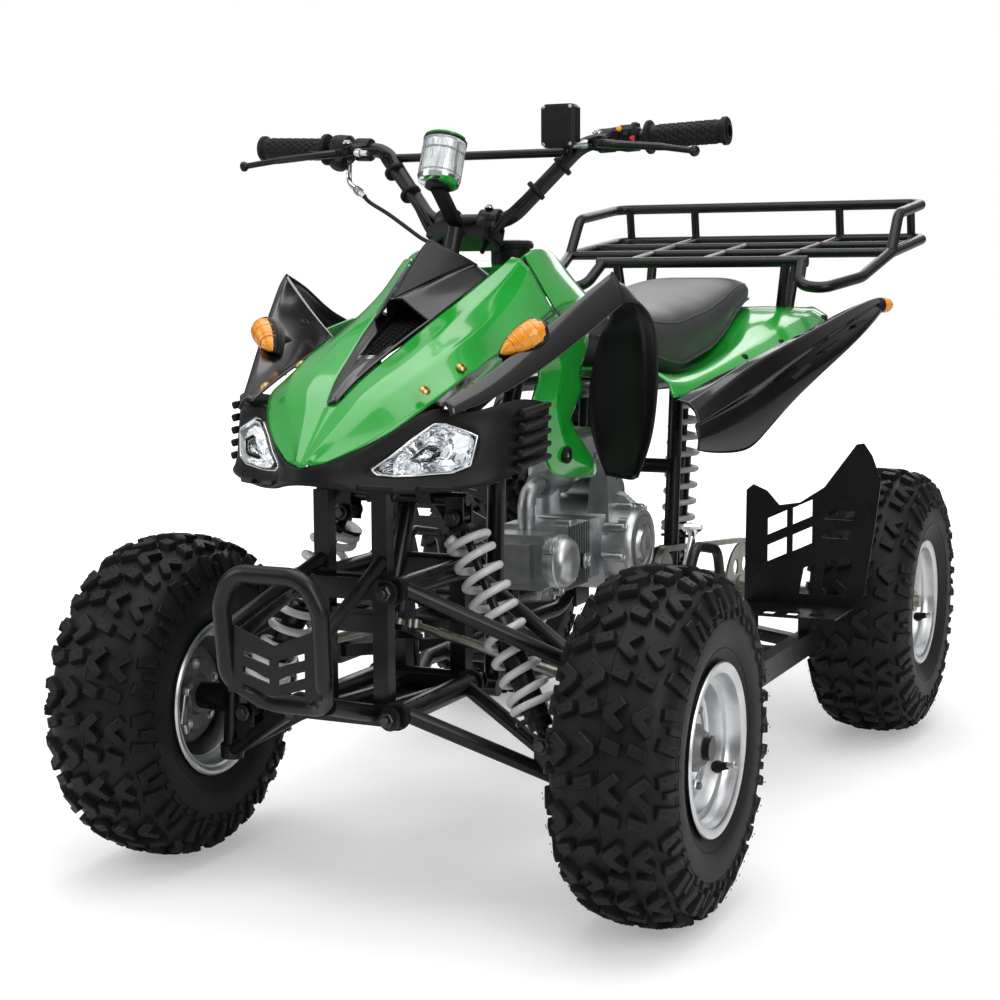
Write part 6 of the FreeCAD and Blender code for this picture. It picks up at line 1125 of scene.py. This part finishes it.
engine = Maker()
crank = P(0, -21, 398)
engine.lathe(crank - P(52, 0, 0), X_AXIS, (0, 60, 3, 66.5, 90, 66.5, 94, 64, 112, 64, 114, 60), "alloy", 72)
engine.lathe(crank, X_AXIS, (60, 60, 62, 62.5, 96, 62, 100, 61.2, 106.5, 58, 108.5, 56, 108.5, 49, 106, 47.6,
                             105.5, 42, 108, 40.5, 109.2, 38, 108, 35, 106, 33.5, 105.8, 29, 110, 26.2, 113.2, 25,
                             113.8, 21, 112.5, 12, 112.5, 1), "alloy_bright", 72)
for out in round_x(8, 0.25):
    at = crank + P(98.5, 0, 0) + out * 0.0645
    engine.lathe(at - P(34, 0, 0), X_AXIS, (0, 7.2, 30, 7.2, 32, 6.2), "alloy", 16)
    engine.bolt(at - P(2, 0, 0), X_AXIS, 4.6, "zinc", 5, washer=False)
for x in (-18, 30):
    engine.lathe(crank + P(x, 0, 0), X_AXIS, (0, 66.2, 0.8, 68.4, 5, 68.4, 5.8, 66.2), "alloy", 72, caps=False)
engine.box(crank + P(10, -4, 64), crank + P(58, -4, 64), 42, 12, "alloy_bright", round_by=3)
engine.lathe(crank + P(34, -4, 70), Z_AXIS, (0, 17, 4, 17, 6, 12), "alloy_bright", 28)
for k in range(5):  # starter cover's ribs
    engine.box(crank + P(30, 40 + k * 14, 78 - k * 6), crank + P(56, 46 + k * 14, 66 - k * 6), 4, 24, "alloy",
               up=(0, 0.3, 1))
engine.make("engine_covers", "chassis", angle=32)

head = Maker()
hub = P(0, -255, 398)
head.lathe(hub, X_AXIS, (56, 42.5, 64, 42.5, 65.5, 40, 72, 38.5, 79, 33, 83, 24, 84.5, 12, 84.8, 1),
           "alloy_bright", 56)
for out in round_x(3, 0.5):
    at = hub + P(60, 0, 0) + out * 0.046
    head.lathe(at - P(10, 0, 0), X_AXIS, (0, 8, 12, 8, 13, 7), "alloy", 18)
    head.bolt(at + P(2, 0, 0), X_AXIS, 4.8, "zinc", 5, washer=False)
for k in range(9):
    y = -222 + k * 10.2
    head.box(P(-52, y, 398), P(58.5, y, 398), 3, 102, "alloy", round_by=0.8)
head.box(P(30, -196, 452), P(58, -196, 452), 30, 10, "alloy", round_by=2)
nut = P(86, -192, 392)
head.lathe(nut - P(26, 0, 0), X_AXIS, (0, 12, 16, 12, 17, 10.5), "rubber", 24)
head.bolt(nut - P(8, 0, 0), X_AXIS, 9.5, "zinc", 8)
head.make("cylinder_head_dress", "chassis", angle=32)

lever = Maker()
knob, knob_angle = P(234, -137, 446), math.radians(25)
half_knob = Vector((math.cos(knob_angle), math.sin(knob_angle), 0)) * 0.0165
lever.box(knob - half_knob, knob + half_knob, 13, 12, "chrome", round_by=4)
lever.lathe(knob - P(0, 0, 30), Z_AXIS, (0, 5, 14, 5.2, 20, 7.5, 26, 9.5), "chrome", 24)
lever.make("reverse_lever_handle", "chassis", angle=30)

# Floor, light and backdrop

FLOOR_HALF = 30.0
# Start, end, and what lies before and behind them
FLOOR_FADE, SKY_FADE = (0.8, 4.5, 0.32, 1.0), (0.0, 0.75, 0.06, 0.62)
# Name, place, aim, size and power
LIGHTS = (("top", (0.2, -0.3, 3.2), (0, 0, 0.4), (3.2, 3.2), 62),
          ("left_front", (2.8, -2.2, 2.0), (0, -0.2, 0.5), (1.6, 2.4), 40),
          ("right_front", (-2.6, -2.4, 1.8), (0, -0.2, 0.5), (1.6, 2.4), 28),
          ("rear", (-0.8, 3.0, 2.2), (0, 0.2, 0.5), (2.4, 1.8), 26))


def rise(tree, value, start, end, low, high):
    """Smooth rise from low to high while the value goes from start to end."""
    return node(tree, "MapRange", {"interpolation_type": "SMOOTHSTEP"}, Value=value, From_Min=start, From_Max=end,
                To_Min=low, To_Max=high).outputs["Result"]


def in_view(tree):
    """1 for rays of the camera, also behind clear pieces."""
    path = node(tree, "LightPath").outputs
    return maths(tree, "MAXIMUM", path["Is Camera Ray"], path["Is Transmission Ray"])


def stage():
    """Floor that turns white away from the vehicle, and a white backdrop that lights it only dimly."""
    mesh = bpy.data.meshes.new("floor")
    mesh.from_pydata([(x * FLOOR_HALF, y * FLOOR_HALF, 0) for x, y in ((-1, -1), (1, -1), (1, 1), (-1, 1))], [],
                     [(0, 1, 2, 3)])
    floor = bpy.data.objects.new("floor", mesh)
    bpy.context.collection.objects.link(floor)
    m = bpy.data.materials.new("floor")
    m.use_nodes = True
    tree = m.node_tree
    away = node(tree, "VectorMath", {"operation": "LENGTH"})
    feed(tree, away.inputs[0], node(tree, "NewGeometry").outputs["Position"])
    glow = maths(tree, "MULTIPLY", in_view(tree), rise(tree, away.outputs["Value"], *FLOOR_FADE))
    for key, value in (("Base Color", (0.80, 0.80, 0.80, 1)), ("Roughness", 0.9), ("Specular IOR Level", 0.1),
                       ("Emission Color", (1, 1, 1, 1)), ("Emission Strength", glow)):
        feed(tree, tree.nodes["Principled BSDF"].inputs[key], value)
    mesh.materials.append(m)
    world = bpy.data.worlds.new("studio")
    bpy.context.scene.world = world
    world.use_nodes = True
    tree = world.node_tree
    up = node(tree, "SeparateXYZ", Vector=node(tree, "TexCoord").outputs["Generated"]).outputs["Z"]
    glow = node(tree, "Mix", {"data_type": "FLOAT"}, Factor=in_view(tree), A=rise(tree, up, *SKY_FADE), B=1.0)
    feed(tree, tree.nodes["Background"].inputs["Strength"], glow.outputs["Result"])
    feed(tree, tree.nodes["Background"].inputs["Color"], (1, 1, 1, 1))


def soft_light(name, where, towards, size, power):
    data = bpy.data.lights.new(name, "AREA")
    data.shape = "RECTANGLE"
    data.size, data.size_y = size
    data.energy = power
    lamp = bpy.data.objects.new(name, data)
    bpy.context.collection.objects.link(lamp)
    lamp.location = where
    lamp.rotation_euler = (Vector(towards) - Vector(where)).to_track_quat("-Z", "Y").to_euler()


stage()
for light in LIGHTS:
    soft_light(*light)

bpy.context.scene.view_settings.view_transform = "Standard"
